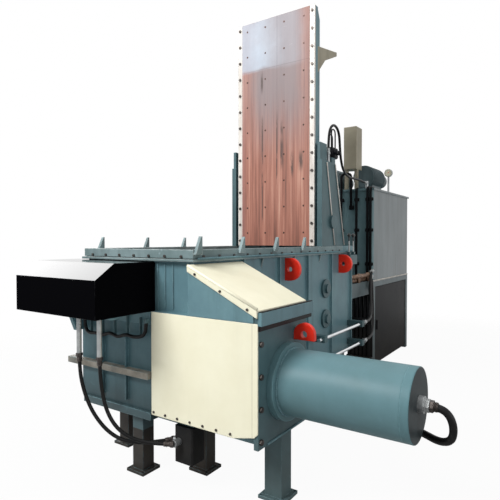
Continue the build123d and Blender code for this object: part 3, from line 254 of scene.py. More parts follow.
def blackGloss():
    p = Paint("blackGlossEnamel")
    sheen = p.noise(blackLook["sheen"], 4, 0.6)
    dust = p.step(p.noise(blackLook["dust"], 7, 0.7), 0.62, 0.8)
    soft, edge = p.roundEdge(blackLook["edge"])
    dusty = p.mix(dust * 0.08, "#08080a", "#3c3c3e")
    # paler rounded edges: partly wear, partly painted highlight
    edged = p.mix(edge * 0.5 * p.step(sheen, 0.4, 0.6), dusty, "#8d9296")
    fine = p.bump(p.noise(blackLook["grain"], 2, 0.5), 0.04, 0.0004, soft)
    ripple = p.bump(p.noise(blackLook["ripple"], 2, 0.4), 0.10, 0.004, fine)
    lean = p.node("SeparateXYZ", {0: p.node("NewGeometry", {}, "Normal")}, "Z")
    roof = p.step(lean, *blackLook["lean"])
    return p.set(colour=edged, rough=sheen * 0.12 + 0.2 + dust * 0.1, coat=roof, coatRough=0.06, specular=0.0,
                 normal=ripple)


# the lid's red-brown wear plate: streaks, seams between its plates, a painted sky reflection on the top plate,
# and gouges,
# each with its place across, lower end, upper end and half width
wearLook = {
    "topSeam": 3.350, "topSeamHalf": 0.003, "midSeam": 0.029, "midSeamHalf": 0.002, "middle": 0.03,
    "gougeFade": 0.06,
    "gouges": [(-0.145, 2.34, 2.84, 0.010), (0.084, 2.34, 2.60, 0.016), (0.084, 2.66, 2.76, 0.014),
               (0.302, 2.30, 2.45, 0.022), (0.204, 2.24, 2.45, 0.016), (0.029, 2.20, 2.86, 0.007),
               (-0.150, 3.13, 3.30, 0.014), (-0.145, 1.80, 2.30, 0.008)],
}


def wearPlate():
    p = Paint("lidWearPlate")
    streak = p.noise(11, 7, 0.66, (1.0, 1.0, 0.035))
    fine = p.noise(60, 6, 0.7, (1.0, 1.0, 0.02))
    patch = p.noise(1.5, 6, 0.62)
    across, height = p.axis("X"), p.axis("Z")
    body = p.ramp(streak * 0.6 + fine * 0.4, (0.37, "#5c3a2f"), (0.46, "#8b5848"), (0.53, "#a26c5a"),
                  (0.64, "#c39784"))
    centre = 1 - p.step(abs(across - wearLook["middle"]) + patch * 0.2, 0.28, 0.48)
    greyed = p.mix(p.step(height + streak * 0.9, 2.75, 3.6) * (centre * 0.6 + 0.3), body, "#7e7476")
    mauve = p.mix((1 - p.step(across, -0.44, -0.33)) * 0.45, greyed, "#8a6a72")
    # a bluish-white painted reflection of the sky on the top plate, strongest at the left
    upper = p.step(height + patch * 0.20, wearLook["topSeam"] + 0.06, wearLook["topSeam"] + 0.13)
    sheen = upper * (1 - p.step(across + patch * 0.5, -0.10, 0.42)) * 0.8 + upper * centre * 0.25
    skyReflected = p.mix(sheen, mauve, p.mix(p.noise(7, 6, 0.7, (1, 1, 0.4)), "#949fae", "#b5c0cd"))
    scrape = p.step(p.noise(5, 7, 0.72, (1, 1, 3.0)), 0.66, 0.74) * upper
    scraped = p.mix(scrape * 0.6, skyReflected, "#efeff0")
    rag = p.noise(30, 5, 0.7, (1, 1, 0.15))
    marks, fade = 0, wearLook["gougeFade"]
    for x, low, high, half in wearLook["gouges"]:
        side = 1 - p.step(abs(across - x) / half, 0.4, 1.5)
        ends = p.step(height, low - fade, low + fade) * (1 - p.step(height, high - fade, high + fade))
        marks = side * ends * p.step(rag, 0.36, 0.52) + marks
    seam = abs(height - wearLook["topSeam"]) < wearLook["topSeamHalf"]
    joint = abs(across - wearLook["midSeam"]) < wearLook["midSeamHalf"]
    dark = p.node("Clamp", {0: marks * 0.85 + seam * 0.25 + joint * 0.45})
    marked = p.mix(dark, scraped, "#35221c")
    soft, edge = p.roundEdge(0.006)
    # paler rounded edges: partly wear, partly painted highlight
    edged = p.mix(edge * 0.5, marked, "#d8b7ab")
    normal = p.bump(dark, -0.5, 0.003, p.bump(fine, 0.2, 0.0012, p.bump(streak, 0.25, 0.003, soft)))
    return p.set(colour=edged, rough=0.55 - sheen * 0.2, normal=normal)


# rust and scrapes inside the box; the floor plate's outer edges are painted with the box
chamberLook = {"skin": 0.002, "rust": 4, "scrape": 24}


def chamberSteel():
    p = Paint("chamberWearSteel")
    rust = p.noise(chamberLook["rust"], 7, 0.68)
    scrape = p.noise(chamberLook["scrape"], 6, 0.7, (1, 0.06, 1))
    body = p.ramp(rust * 0.6 + scrape * 0.4, (0.34, "#4d2f26"), (0.5, "#8a5142"), (0.62, "#b0806f"))
    x, y, skin = p.axis("X"), p.axis("Y"), chamberLook["skin"]
    low, high = floorLow - boxMiddle, floorHigh - boxMiddle
    inside = (x > low.x + skin) * (x < high.x - skin) * (y > low.y + skin) * (y < high.y - skin)
    return p.set(colour=p.mix(inside, tealDark, body), rough=scrape * 0.3 + 0.42, metal=inside * 0.15,
                 normal=p.bump(scrape, 0.3, 0.002))


def brightSteel():
    p = Paint("chromedRod")
    ring = p.noise(60, 3, 0.5, (1, 0.2, 1))
    film = p.step(p.noise(6, 5, 0.6), 0.5, 0.75)
    colour = p.mix(film * 0.3, "#dadddf", "#a09b92")
    return p.set(colour=colour, metal=1.0, rough=ring * 0.12 + 0.08 + film * 0.14,
                 normal=p.bump(ring, 0.05, 0.0005))


def zincPlate(name, light, dark):
    p = Paint(name)
    spangle = p.cells(90)
    soft, edge = p.roundEdge(0.003)
    colour = p.mix(p.step(p.noise(8, 4, 0.6), 0.4, 0.7), light, dark)
    # paler rounded edges: partly wear, partly painted highlight
    edged = p.mix(edge * 0.4, colour, shade(light, 1.3))
    return p.set(colour=edged, metal=0.75, rough=spangle * 0.2 + 0.3,
                 normal=p.bump(spangle, 0.06, 0.0004, soft))


def edgeStrip():
    p = Paint("paleEdgeStrip")
    flow = p.noise(9, 6, 0.66, (1, 1, 0.2))
    chips = p.step(p.noise(34, 7, 0.72), 0.58, 0.68)
    body = p.mix(p.step(flow, 0.35, 0.68), "#dedad3", "#bdb7af")
    chipped = p.mix(chips * 0.5, body, "#94695b")
    soft, edge = p.roundEdge(0.006)
    # paler rounded edges: partly wear, partly painted highlight
    edged = p.mix(edge * 0.6, chipped, "#f1eeea")
    return p.set(colour=edged, metal=0.1, rough=flow * 0.2 + 0.38, normal=p.bump(flow, 0.2, 0.0012, soft))


def hoseRubber():
    p = Paint("blackHose")
    weave = p.cells(420)
    dust = p.step(p.noise(18, 5, 0.65), 0.52, 0.75)
    colour = p.mix(dust * 0.15, "#0a0a0b", "#3a3936")
    return p.set(colour=colour, rough=dust * 0.2 + 0.42, specular=0.18, normal=p.bump(weave, 0.25, 0.0006))


def rustyPipe():
    p = Paint("brownPipeSteel")
    rust = p.noise(22, 7, 0.7)
    colour = p.ramp(rust, (0.35, "#3c2a20"), (0.5, "#745744"), (0.66, "#a98e77"))
    return p.set(colour=colour, metal=0.3, rough=rust * 0.4 + 0.3, normal=p.bump(rust, 0.3, 0.001))


glossBlack = blackGloss()
lidPlate = wearPlate()
chamberPlate = chamberSteel()
chromeRod = brightSteel()
zinc = zincPlate("zincPlating", "#a5a8a8", "#777a7d")
darkBolt = zincPlate("blackenedBolts", "#4a4441", "#2f2b2a")
stripSteel = edgeStrip()
rubber = hoseRubber()
brownPipe = rustyPipe()
print("metals and rubber made")

# which nodes have which finish; the rest are teal
finishes = [
    (chamberPlate, "chamber_floor wall_liners"),
    (lidPlate, "lid_wear_plate"), (stripSteel, "lid_edge_strips"),
    (darkBolt, "lid_bolts frame_bolts cover_screws"),
    (rimPaint, "rim rim_teeth"),
    (paintedShadeTeal, "hinge_towers pivot_pins centre_leg housing_end_plate wall_fittings lever_valve"),
    (beigePaint, "lid_stop_arm switch_box"),
    (chromeRod, "lid_cylinder_rod first_ram_rod side_ram_rod gate_rod hydraulic_pipes"),
    (tubePaint, "side_cylinder"), (capPaint, "side_cylinder_cap"), (panelPaint, "side_panel"),
    (creamPaint, "hood_plate"), (glossBlack, "gate_cover"), (gatePaint, "gate_plate"),
    (legPaint, "base_legs"), (darkPaint, "manifold stand_panels stand_door"),
    (redPaint, "lifting_lugs"), (nearPaint, "near_wall gate_guides"), (leverPaint, "near_lever far_lever"),
    (standPaint, "tank_stand motor_pumps"), (tankPaint, "oil_tank"),
    (zinc, "valve_stack pressure_gauge hose_fittings"),
]
finishOf = {node: finish for finish, nodes in finishes for node in nodes.split()}
for name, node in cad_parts.items():
    node.data.materials.clear()
    node.data.materials.append(finishOf.get(name, tealPaint))
print("finishes set")


# mesh and Geometry Nodes helpers: every finished piece is a plain mesh at the origin
def addPiece(name, mesh, finish, body):
    piece = addObject(name, mesh)
    if finish:
        mesh.materials.append(finish)
    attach(piece, body)


def meshFrom(name, shape, smooth):
    bmesh.ops.recalc_face_normals(shape, faces=shape.faces)
    mesh = bpy.data.meshes.new(name)
    shape.to_mesh(mesh)
    shape.free()
    mesh.polygons.foreach_set("use_smooth", [smooth] * len(mesh.polygons))
    return mesh


# a finished bmesh that stays with the frame
def addShape(name, shape, finish, smooth=False):
    addPiece(name, meshFrom(name, shape, smooth), finish, "frame")


# a skin over rings of vertices, closed at both ends
def skinOver(shape, rings):
    sides = len(rings[0])
    for first, second in zip(rings, rings[1:]):
        for i in range(sides):
            shape.faces.new((first[i], first[(i + 1) % sides], second[(i + 1) % sides], second[i]))
    shape.faces.new(rings[0])
    shape.faces.new(rings[-1])


def roundAngles(count):
    return [2 * math.pi * i / count for i in range(count)]


# shapes added to a bmesh, in metres from the charging box's origin
# first, rings of (distance, radius) along an axis
def turnOn(shape, start, direction, profile, sides=24):
    turn = Vector(direction).normalized().to_track_quat("Z", "Y").to_matrix()
    rings = []
    for along, radius in profile:
        spots = [Vector((radius * math.cos(a), radius * math.sin(a), along)) for a in roundAngles(sides)]
        rings.append([shape.verts.new(atBox(*start) + turn @ spot) for spot in spots])
    skinOver(shape, rings)


# a block with bevelled edges
def blockOn(shape, low, high, bevel=0.003):
    made = bmesh.ops.create_cube(shape, size=1.0)["verts"]
    low, high = atBox(*low), atBox(*high)
    size, middle = high - low, (low + high) / 2
    for vert in made:
        vert.co = Vector(a * b for a, b in zip(vert.co, size)) + middle
    edges = list({edge for vert in made for edge in vert.link_edges})
    bmesh.ops.bevel(shape, geom=edges, offset=bevel, segments=2, affect="EDGES")


# a bent round pipe through a list of points, with rounded corners
def pipeOn(shape, points, radius, bend=0.06, sides=14):
    points = [atBox(*spot) for spot in points]
    path = points[:1]
    for before, corner, after in zip(points, points[1:], points[2:]):
        back, onward = before - corner, after - corner
        reach = min(bend, back.length * 0.48, onward.length * 0.48)
        first, last = corner + back.normalized() * reach, corner + onward.normalized() * reach
        path += [first.lerp(corner, t).lerp(corner.lerp(last, t), t) for t in (i / 6 for i in range(7))]
    path.append(points[-1])
    side = (path[1] - path[0]).orthogonal().normalized()
    rings = []
    for i, spot in enumerate(path):
        ahead = (path[min(i + 1, len(path) - 1)] - path[max(i - 1, 0)]).normalized()
        side = (side - ahead * side.dot(ahead)).normalized()
        other = ahead.cross(side)
        rings.append([shape.verts.new(spot + (side * math.cos(a) + other * math.sin(a)) * radius)
                      for a in roundAngles(sides)])
    skinOver(shape, rings)


# a Geometry Nodes tree: named inputs, nodes by the same method as the shaders
class Grower(Paint):
    family = "GeometryNode"

    def __init__(self, name, **inputs):
        self.tree = bpy.data.node_groups.new(name, "GeometryNodeTree")
        self.tree.interface.new_socket("Geometry", in_out="OUTPUT", socket_type="NodeSocketGeometry")
        self.keys = {}
        for key, kind in {"Geometry": "Geometry", **inputs}.items():
            made = self.tree.interface.new_socket(key, in_out="INPUT", socket_type="NodeSocket" + kind)
            self.keys[key] = made.identifier
        self.entry = self.tree.nodes.new("NodeGroupInput")

    def given(self, key):
        return Wire(self, self.entry.outputs[key])

    def close(self, shape, finish):
        real = self.node("RealizeInstances", {"Geometry": shape})
        dressed = self.node("SetMaterial", {"Geometry": real, "Material": finish})
        self.feed(self.tree.nodes.new("NodeGroupOutput").inputs[0], dressed)

    # runs the tree on a mesh and gives back the result as a plain mesh
    def grow(self, name, mesh, **values):
        seed = addObject(name + "Seed", mesh)
        modifier = seed.modifiers.new("grow", "NODES")
        modifier.node_group = self.tree
        for key, value in values.items():
            modifier[self.keys[key]] = value
        ready = seed.evaluated_get(bpy.context.evaluated_depsgraph_get())
        result = bpy.data.meshes.new_from_object(ready)
        result.name = name
        bpy.data.objects.remove(seed)
        return result


def lineMesh(name, runs):
    mesh = bpy.data.meshes.new(name)
    spots, edges = [], []
    for run in runs:
        edges += [(len(spots) + i, len(spots) + i + 1) for i in range(len(run) - 1)]
        spots += [atBox(*spot) for spot in run]
    mesh.from_pydata(spots, edges, [])
    return mesh


# weld beads repeated along lines
def alongTree():
    g = Grower("repeatAlongLine", Pitch="Float", Size="Float", Flat="Float", Finish="Material")
    curve = g.node("MeshToCurve", {0: g.given("Geometry")})
    even = g.node("ResampleCurve", {"Curve": curve, "Length": g.given("Pitch")}, mode="LENGTH")
    bead = g.node("MeshUVSphere", {"Segments": 8, "Rings": 4, "Radius": g.given("Size")})
    tangent = g.node("InputTangent", {})
    turned = g.node("FunctionNodeAlignRotationToVector", {"Vector": tangent}, axis="X")
    squash = g.node("ShaderNodeCombineXYZ", {"X": g.given("Flat"), "Y": 1.0, "Z": 1.0})
    spread = g.node("InstanceOnPoints", {"Points": even, "Instance": bead,
                                         "Rotation": turned, "Scale": squash})
    soft = g.node("SetShadeSmooth", {"Geometry": spread})
    g.close(soft, g.given("Finish"))
    return g


# sunk screw heads in rows and columns on a plate that faces -Y
# taper and socket are shares of the head's radius
screwLook = {"sides": 12, "taper": 0.8, "depth": 0.0024, "socket": 0.42, "socketDepth": 0.0032}
upright = (math.pi / 2, 0, 0)


def rowsTree():
    g = Grower("screwRows", Columns="Int", Rows="Int", Width="Float", Height="Float", Head="Float",
               Place="Vector", Finish="Material")
    grid = g.node("MeshGrid", {"Size X": g.given("Width"), "Size Y": g.given("Height"),
                               "Vertices X": g.given("Columns"), "Vertices Y": g.given("Rows")})
    stood = g.node("Transform", {"Geometry": grid, "Rotation": upright, "Translation": g.given("Place")})
    size = g.given("Head")
    head = g.node("MeshCone", {"Vertices": screwLook["sides"], "Radius Top": size * screwLook["taper"],
                               "Radius Bottom": size, "Depth": screwLook["depth"]})
    socket = g.node("MeshCylinder", {"Vertices": 6, "Radius": size * screwLook["socket"],
                                     "Depth": screwLook["socketDepth"]})
    both = g.node("JoinGeometry", {0: head})
    g.feed(both.socket.node.inputs[0], socket)
    spread = g.node("InstanceOnPoints", {"Points": stood, "Instance": both, "Rotation": upright})
    g.close(spread, g.given("Finish"))
    return g


# marks round a dial that faces -Y, each a bar stretched to its length
barSize = (0.006, 0.0018, 0.0008)


def dialTree():
    g = Grower("dialMarks", Count="Int", Radius="Float", Length="Float", Place="Vector", Finish="Material")
    ring = g.node("MeshCircle", {"Vertices": g.given("Count"), "Radius": g.given("Radius")})
    bar = g.node("MeshCube", {"Size": barSize})
    spot = g.node("InputPosition", {})
    turned = g.node("FunctionNodeAlignRotationToVector", {"Vector": spot}, axis="X")
    stretch = g.node("ShaderNodeCombineXYZ", {"X": g.given("Length") / barSize[0], "Y": 1.0, "Z": 1.0})
    spread = g.node("InstanceOnPoints", {"Points": ring, "Instance": bar,
                                         "Rotation": turned, "Scale": stretch})
    stood = g.node("Transform", {"Geometry": spread, "Rotation": upright, "Translation": g.given("Place")})
    g.close(stood, g.given("Finish"))
    return g


repeatAlong, screwRows, dialMarks = alongTree(), rowsTree(), dialTree()
print("growers made")

# hoses that stand in for the CAD's tubes: routes from the charging box's origin, the piece with their sleeves,
# and the lengths of the sleeves at both ends
hoseRoutes = {
    "gate_hose_left": {"size": 0.024, "ends": "blackSleeves", "sleeves": (0.056, 0.062), "points": [
        (-0.168, -1.254, 0.860), (-0.166, -1.253, 0.780), (-0.158, -1.250, 0.700), (-0.143, -1.243, 0.630),
        (-0.120, -1.234, 0.560), (-0.088, -1.222, 0.492), (-0.046, -1.206, 0.430), (0.006, -1.186, 0.374),
        (0.066, -1.160, 0.330), (0.132, -1.124, 0.302), (0.202, -1.075, 0.291), (0.260, -1.018, 0.290),
        (0.306, -0.960, 0.290), (0.346, -0.905, 0.290)]},
    "gate_hose_right": {"size": 0.024, "ends": "blackSleeves", "sleeves": (0.056, 0.062), "points": [
        (0.036, -1.254, 0.860), (0.038, -1.253, 0.780), (0.043, -1.250, 0.700), (0.051, -1.245, 0.630),
        (0.063, -1.237, 0.560), (0.082, -1.225, 0.498), (0.110, -1.208, 0.440), (0.148, -1.184, 0.390),
        (0.196, -1.152, 0.352), (0.252, -1.114, 0.328), (0.312, -1.074, 0.316), (0.368, -1.036, 0.310),
        (0.422, -0.996, 0.308)]},
    "side_cylinder_hose": {"size": 0.040, "ends": "blackSleeves", "sleeves": (0.040, None), "points": [
        (1.893, -0.660, 0.744), (1.945, -0.660, 0.743), (1.985, -0.659, 0.716), (2.003, -0.655, 0.670),
        (2.004, -0.648, 0.620), (1.990, -0.636, 0.580), (1.955, -0.616, 0.555), (1.908, -0.588, 0.545),
        (1.858, -0.553, 0.545), (1.815, -0.530, 0.547), (1.770, -0.524, 0.549)]},
    "tower_hose": {"size": 0.026, "ends": "hoseSleeves", "sleeves": (0.062, 0.062), "points": [
        (0.504, 1.130, 2.440), (0.504, 1.132, 2.530), (0.505, 1.139, 2.612), (0.504, 1.160, 2.686),
        (0.505, 1.208, 2.740), (0.504, 1.278, 2.760), (0.503, 1.348, 2.741), (0.502, 1.398, 2.690),
        (0.498, 1.422, 2.616), (0.492, 1.447, 2.540), (0.481, 1.494, 2.452), (0.464, 1.574, 2.376),
        (0.442, 1.700, 2.327), (0.420, 1.850, 2.310), (0.402, 2.010, 2.312), (0.388, 2.180, 2.322),
        (0.378, 2.340, 2.322), (0.372, 2.450, 2.316), (0.368, 2.560, 2.312)]},
}


def hoseCurve(name, points, size):
    curve = bpy.data.curves.new(name, "CURVE")
    curve.dimensions = "3D"
    spline = curve.splines.new("NURBS")
    spline.points.add(len(points) - 1)
    for point, place in zip(spline.points, points):
        point.co = (*atBox(*place), 1)
    spline.order_u = 3
    spline.use_endpoint_u = True
    spline.resolution_u = 8
    curve.bevel_depth = size / 2
    curve.bevel_resolution = 5
    curve.use_fill_caps = True
    curve.materials.append(rubber)
    return addObject(name, curve)


def routeLength(piece):
    bare = addObject("measure", piece.data.copy())
    bare.data.bevel_depth = 0
    line = bpy.data.meshes.new_from_object(bare.evaluated_get(bpy.context.evaluated_depsgraph_get()))
    ends = ([line.vertices[i].co for i in edge.vertices] for edge in line.edges)
    total = sum((first - last).length for first, last in ends)
    bpy.data.objects.remove(bare)
    bpy.data.meshes.remove(line)
    return total


# a hose or cable between two fixed fittings, in place of a CAD node where there is one
def layCord(name, points, size, node=None):
    piece = hoseCurve(name, points, size)
    length = routeLength(piece)
    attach(piece, "frame")
    if node:
        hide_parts(node)
    print("cord", name, round(length, 3), "m")


# crimped sleeves and six-sided nuts on the hose ends
sleeveLook = {"wall": 0.0045, "nut": 0.020, "chamfer": 0.002, "bands": 6, "raised": (0, 3), "raise": 0.0022}


def sleeveOn(shape, start, direction, size, length):
    radius = size / 2 + sleeveLook["wall"]
    nut, chamfer, bands = sleeveLook["nut"], sleeveLook["chamfer"], sleeveLook["bands"]
    edge, flat, groove = radius * 1.2, radius * 1.34, radius * 0.93
    turnOn(shape, start, direction, [(0, edge), (chamfer, flat), (nut - chamfer, flat), (nut, edge)], 6)
    profile = [(nut * 0.9, radius * 0.9)]
    pitch = (length - nut) / bands
    for i in range(bands):
        at = nut + pitch * i
        crest = radius + sleeveLook["raise"] if i in sleeveLook["raised"] else radius
        profile += [(at + pitch * 0.10, crest), (at + pitch * 0.55, crest),
                    (at + pitch * 0.65, groove), (at + pitch * 0.95, groove)]
    turnOn(shape, start, direction, profile + [(length, radius * 0.86)])


# lays a table of hoses, then adds the sleeves' pieces in their finishes
def makeHoses(hoses, sleeves):
    shapes = {name: bmesh.new() for name in sleeves}
    for name, hose in hoses.items():
        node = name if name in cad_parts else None
        layCord(name + "_rubber" if node else name, hose["points"], hose["size"], node)
        shape, spots = shapes[hose["ends"]], [Vector(spot) for spot in hose["points"]]
        first, last = hose["sleeves"]
        sleeveOn(shape, spots[0], spots[1] - spots[0], hose["size"], first)
        if last:
            sleeveOn(shape, spots[-1], spots[-2] - spots[-1], hose["size"], last)
    for name, finish in sleeves.items():
        addShape(name, shapes[name], finish)


makeHoses(hoseRoutes, {"hoseSleeves": zinc, "blackSleeves": darkBolt})
print("hoses made")

# weld beads where plates meet, in metres from the charging box's origin
weldLook = {
    "bead": {"Pitch": 0.011, "Size": 0.0085, "Flat": 0.75},
    "tankBead": {"Pitch": 0.030, "Size": 0.011, "Flat": 0.75},
    "ribs": {"count": 5, "first": -0.366, "bay": 0.512, "half": 0.008, "x": 0.513,
             "low": 0.46, "high": 1.455},
    # along both side walls: how far out, from, to, height
    "sides": [(0.513, -0.90, 1.69, 0.442), (0.509, 0.94, 1.47, 1.536), (0.549, -0.90, 1.68, 1.478)],
    # the near wall's seams, the two stiffeners beside the hood, and the foot of the housing's end plate
    "single": [((0.210, -0.913, 1.440), (0.210, -0.913, 1.13)),
               ((-0.49, -0.913, 1.455), (0.50, -0.913, 1.455)),
               ((0.275, -0.9125, 1.15), (0.275, -0.9125, 1.45)),
               ((0.345, -0.9125, 1.15), (0.345, -0.9125, 1.45)),
               ((1.0495, -0.88, 0.42), (1.0495, -0.43, 0.42))],
    "tube": {"x": 1.0925, "y": -0.660, "z": 0.736, "radius": 0.202, "degrees": 10},
    "lid": {"across": (-0.435, -0.157, 0.157, 0.435), "y": 1.0055, "low": 1.60, "high": 3.83},
    "tank": {"x": 0.4945, "near": 2.49, "far": 3.96, "z": 1.090},
}


def frameWelds():
    runs, rib, tube, out = [], weldLook["ribs"], weldLook["tube"], weldLook["tube"]["radius"]
    for side in (-1, 1):
        for i in range(rib["count"]):  # both feet of each wall rib
            for half in (-rib["half"], rib["half"]):
                x, y = side * rib["x"], rib["first"] + rib["bay"] * i + half
                runs.append([(x, y, rib["low"]), (x, y, rib["high"])])
        runs += [[(side * x, near, z), (side * x, far, z)] for x, near, far, z in weldLook["sides"]]
    runs += weldLook["single"]
    for turn in range(0, 360, tube["degrees"]):  # round the foot of the side cylinder's tube
        angles = math.radians(turn), math.radians(turn + tube["degrees"])
        runs.append([(tube["x"], tube["y"] + out * math.cos(a), tube["z"] + out * math.sin(a))
                     for a in angles])
    return runs


def lidWelds():
    lid = weldLook["lid"]
    return [[(x, lid["y"], lid["low"]), (x, lid["y"], lid["high"])] for x in lid["across"]]


def tankWelds():
    tank = weldLook["tank"]
    return [[(side * tank["x"], y, tank["z"]) for y in (tank["near"], tank["far"])] for side in (-1, 1)]


def welds(name, runs, body, finish, bead):
    mesh = repeatAlong.grow(name, lineMesh(name, runs), Finish=finish, **weldLook[bead])
    addPiece(name, mesh, None, body)
    print(name, len(mesh.polygons), "faces")


welds("wallWelds", frameWelds(), "frame", tealPaint, "bead")
welds("lidWelds", lidWelds(), "lid", tealPaint, "bead")
welds("tankWelds", tankWelds(), "frame", stripSteel, "tankBead")

# sunk screws that hold the wear plate to the lid
plugLook = {"middle": (0, 0.9352, 2.72),
            "grid": {"Columns": 4, "Rows": 9, "Width": 0.66, "Height": 2.10, "Head": 0.010}}
plugSteel = zincPlate("plugScrews", "#4c3832", "#352822")


def lidPlugs():
    mesh = screwRows.grow("lidPlugs", bpy.data.meshes.new("plugSeed"), Place=atBox(*plugLook["middle"]),
                          Finish=plugSteel, **plugLook["grid"])
    addPiece("lidPlugs", mesh, None, "lid")


lidPlugs()
print("lid plugs made")

# the wavy cable on straps under the gate's upper guide, both ends turned up into clips on the guide
cableLook = {"size": 0.024, "from": (-0.380, -1.006, 0.926), "to": (0.130, -1.006, 0.955), "points": 17,
             "wave": 0.011, "turns": 3.0,
             "endRise": [(0.036, 0.012), (0.054, 0.040), (0.061, 0.078), (0.063, 0.112)]}
strapLook = {"every": 4, "half": 0.003, "guide": -0.9842, "lip": 1.085, "bevel": 0.001,
             "clipHalf": 0.013, "clipLow": 0.014, "clipHigh": 0.016, "clipWall": 0.003, "clipBevel": 0.002}


def cableRoute():
    start, end, rise = Vector(cableLook["from"]), Vector(cableLook["to"]), cableLook["endRise"]
    points = []
    for i in range(cableLook["points"]):
        t = i / (cableLook["points"] - 1)
        lift = math.sin(t * math.pi * 2 * cableLook["turns"]) * cableLook["wave"] * math.sin(t * math.pi)
        points.append(start.lerp(end, t) + Vector((0, 0, lift)))
    left = [points[0] + Vector((-out, 0, up)) for out, up in reversed(rise)]
    right = [points[-1] + Vector((out, 0, up)) for out, up in rise]
    return left + points + right


def gateCable():
    points = cableRoute()
    layCord("gateCable", points, cableLook["size"])
    straps, guide = bmesh.new(), strapLook["guide"]
    half, ends, every = strapLook["half"], len(cableLook["endRise"]), strapLook["every"]
    for x, y, z in points[ends:-ends:every]:  # a strap from the cable up to the guide's lip
        blockOn(straps, (x - half, y, z), (x + half, guide, strapLook["lip"]), strapLook["bevel"])
    half, grip = strapLook["clipHalf"], cableLook["size"] / 2 + strapLook["clipWall"]
    for x, y, z in (points[0], points[-1]):
        blockOn(straps, (x - half, y - grip, z - strapLook["clipLow"]),
                (x + half, guide, z + strapLook["clipHigh"]), strapLook["clipBevel"])
    addShape("cableStraps", straps, paintedShadeTeal)


gateCable()

# a black strip under the hood's lip as painted shadow in the gap there, the dark joint along the hood's lower
# edge, and the bead on its near side's fold
hoodStripLook = {"shadowStrip": ((1.049, -0.982, 1.086), (1.061, -0.345, 1.1155), 0.002),
            "joint": ((1.050, -0.975, 1.1915), (1.070, -0.350, 1.1955), 0.001),
            "fold": [(0.537, -0.989, 1.4385), (1.047, -0.989, 1.2095)], "bead": 0.0085}


def hoodShadowStrips():
    darkStrips, bead = bmesh.new(), bmesh.new()
    # the black strip stands in as painted shadow under the lip
    blockOn(darkStrips, *hoodStripLook["shadowStrip"])
    blockOn(darkStrips, *hoodStripLook["joint"])
    pipeOn(bead, hoodStripLook["fold"], hoodStripLook["bead"])
    addShape("hoodFoldBead", bead, creamPaint, smooth=True)
    addShape("hoodShadowStrips", darkStrips, rubber)


hoodShadowStrips()
print("seals made")

# pale lines down both hinge towers, a painted highlight along the towers' lit plate edges: (y, z) from and to
towerGlintLook = {"radius": 0.006, "face": 0.5292, "runs": [((1.032, 2.350), (1.218, 1.545)),
                                                        ((1.232, 2.352), (1.462, 1.545))]}
# black pipes up the tank's face: one loops over the tank's edge and comes down again beside itself;
# a clip has half width, way in from the pipe's line and half height
tankLook = {"radius": 0.016, "bend": 0.05, "y": 2.443, "face": 2.4742, "low": 1.16, "in": 0.11,
            "loop": {"x": 0.086, "beside": 0.216, "top": 2.43, "end": 1.98, "clipTop": 2.03},
            "pipes": [(0.287, 2.24), (0.429, 2.25), (0.467, 2.24)],
            "clips": (1.30, 1.72, 2.10), "clip": (0.03, 0.004, 0.02)}
# black suction pipes down the stand's front and their cross straps, with a black sheet behind them as painted
# shade in the dark gap there
suctionLook = {"count": 6, "first": 0.20, "pitch": 0.05, "y": 2.445, "high": 1.07, "low": 0.15,
               "radius": 0.022, "plate": ((0.18, 2.4702, 0.15), (0.494, 2.4742, 1.05), 0.001),
               "straps": (0.12, 0.60, 1.02), "strapHalf": 0.03, "strapFrom": (0.17, 2.416),
               "strapTo": (0.494, 2.4742)}
# brown pipes on the tie beam: (x, z); a clip has half width, half length and way up over the pipe's line
beamLook = {"radius": 0.024, "pipes": [(0.424, 1.122), (0.462, 1.172)], "near": 1.699, "far": 2.473,
            "top": 1.0955, "clips": (1.78, 2.08, 2.38), "clip": (0.012, 0.025, 0.03)}


# pale steel lines as painted highlight on the towers' plate edges
def towerGlintLines():
    pale = bmesh.new()
    for run in towerGlintLook["runs"]:
        for side in (-1, 1):
            x = side * (towerGlintLook["face"] + towerGlintLook["radius"])
            pipeOn(pale, [(x, *spot) for spot in run], towerGlintLook["radius"])
    addShape("towerGlintLines", pale, stripSteel, smooth=True)


def tankLines():
    dark, loop = bmesh.new(), tankLook["loop"]
    y, face, low = tankLook["y"], tankLook["face"], tankLook["low"]
    wide, inward, high = tankLook["clip"]
    back = y + inward
    x, beside, top = loop["x"], loop["beside"], loop["top"]
    paths = [[(x, y, low), (x, y, top), (beside, y, top), (beside, y, loop["end"])]]
    paths += [[(x, y, low), (x, y, top), (x, y + tankLook["in"], top)] for x, top in tankLook["pipes"]]
    for path in paths:
        pipeOn(dark, path, tankLook["radius"], tankLook["bend"])
        x = path[0][0]
        for z in tankLook["clips"]:
            blockOn(dark, (x - wide, back, z - high), (x + wide, face, z + high))
    blockOn(dark, (beside - wide, back, loop["end"]), (beside + wide, face, loop["clipTop"]))
    for i in range(suctionLook["count"]):
        x, y = suctionLook["first"] + suctionLook["pitch"] * i, suctionLook["y"]
        pipeOn(dark, [(x, y, suctionLook["high"]), (x, y, suctionLook["low"])], suctionLook["radius"])
    # the black sheet behind the pipes is painted shade
    blockOn(dark, *suctionLook["plate"])
    half = suctionLook["strapHalf"]
    for z in suctionLook["straps"]:
        blockOn(dark, (*suctionLook["strapFrom"], z - half), (*suctionLook["strapTo"], z + half))
    addShape("tankLines", dark, darkPaint, smooth=True)


def beamPipes():
    brown = bmesh.new()
    wide, long, over = beamLook["clip"]
    for x, z in beamLook["pipes"]:
        pipeOn(brown, [(x, beamLook["near"], z), (x, beamLook["far"], z)], beamLook["radius"])
        for y in beamLook["clips"]:
            blockOn(brown, (x - wide, y - long, beamLook["top"]), (x + wide, y + long, z + over))
    addShape("beamPipes", brown, brownPipe, smooth=True)


towerGlintLines()
tankLines()
beamPipes()
print("lines made")

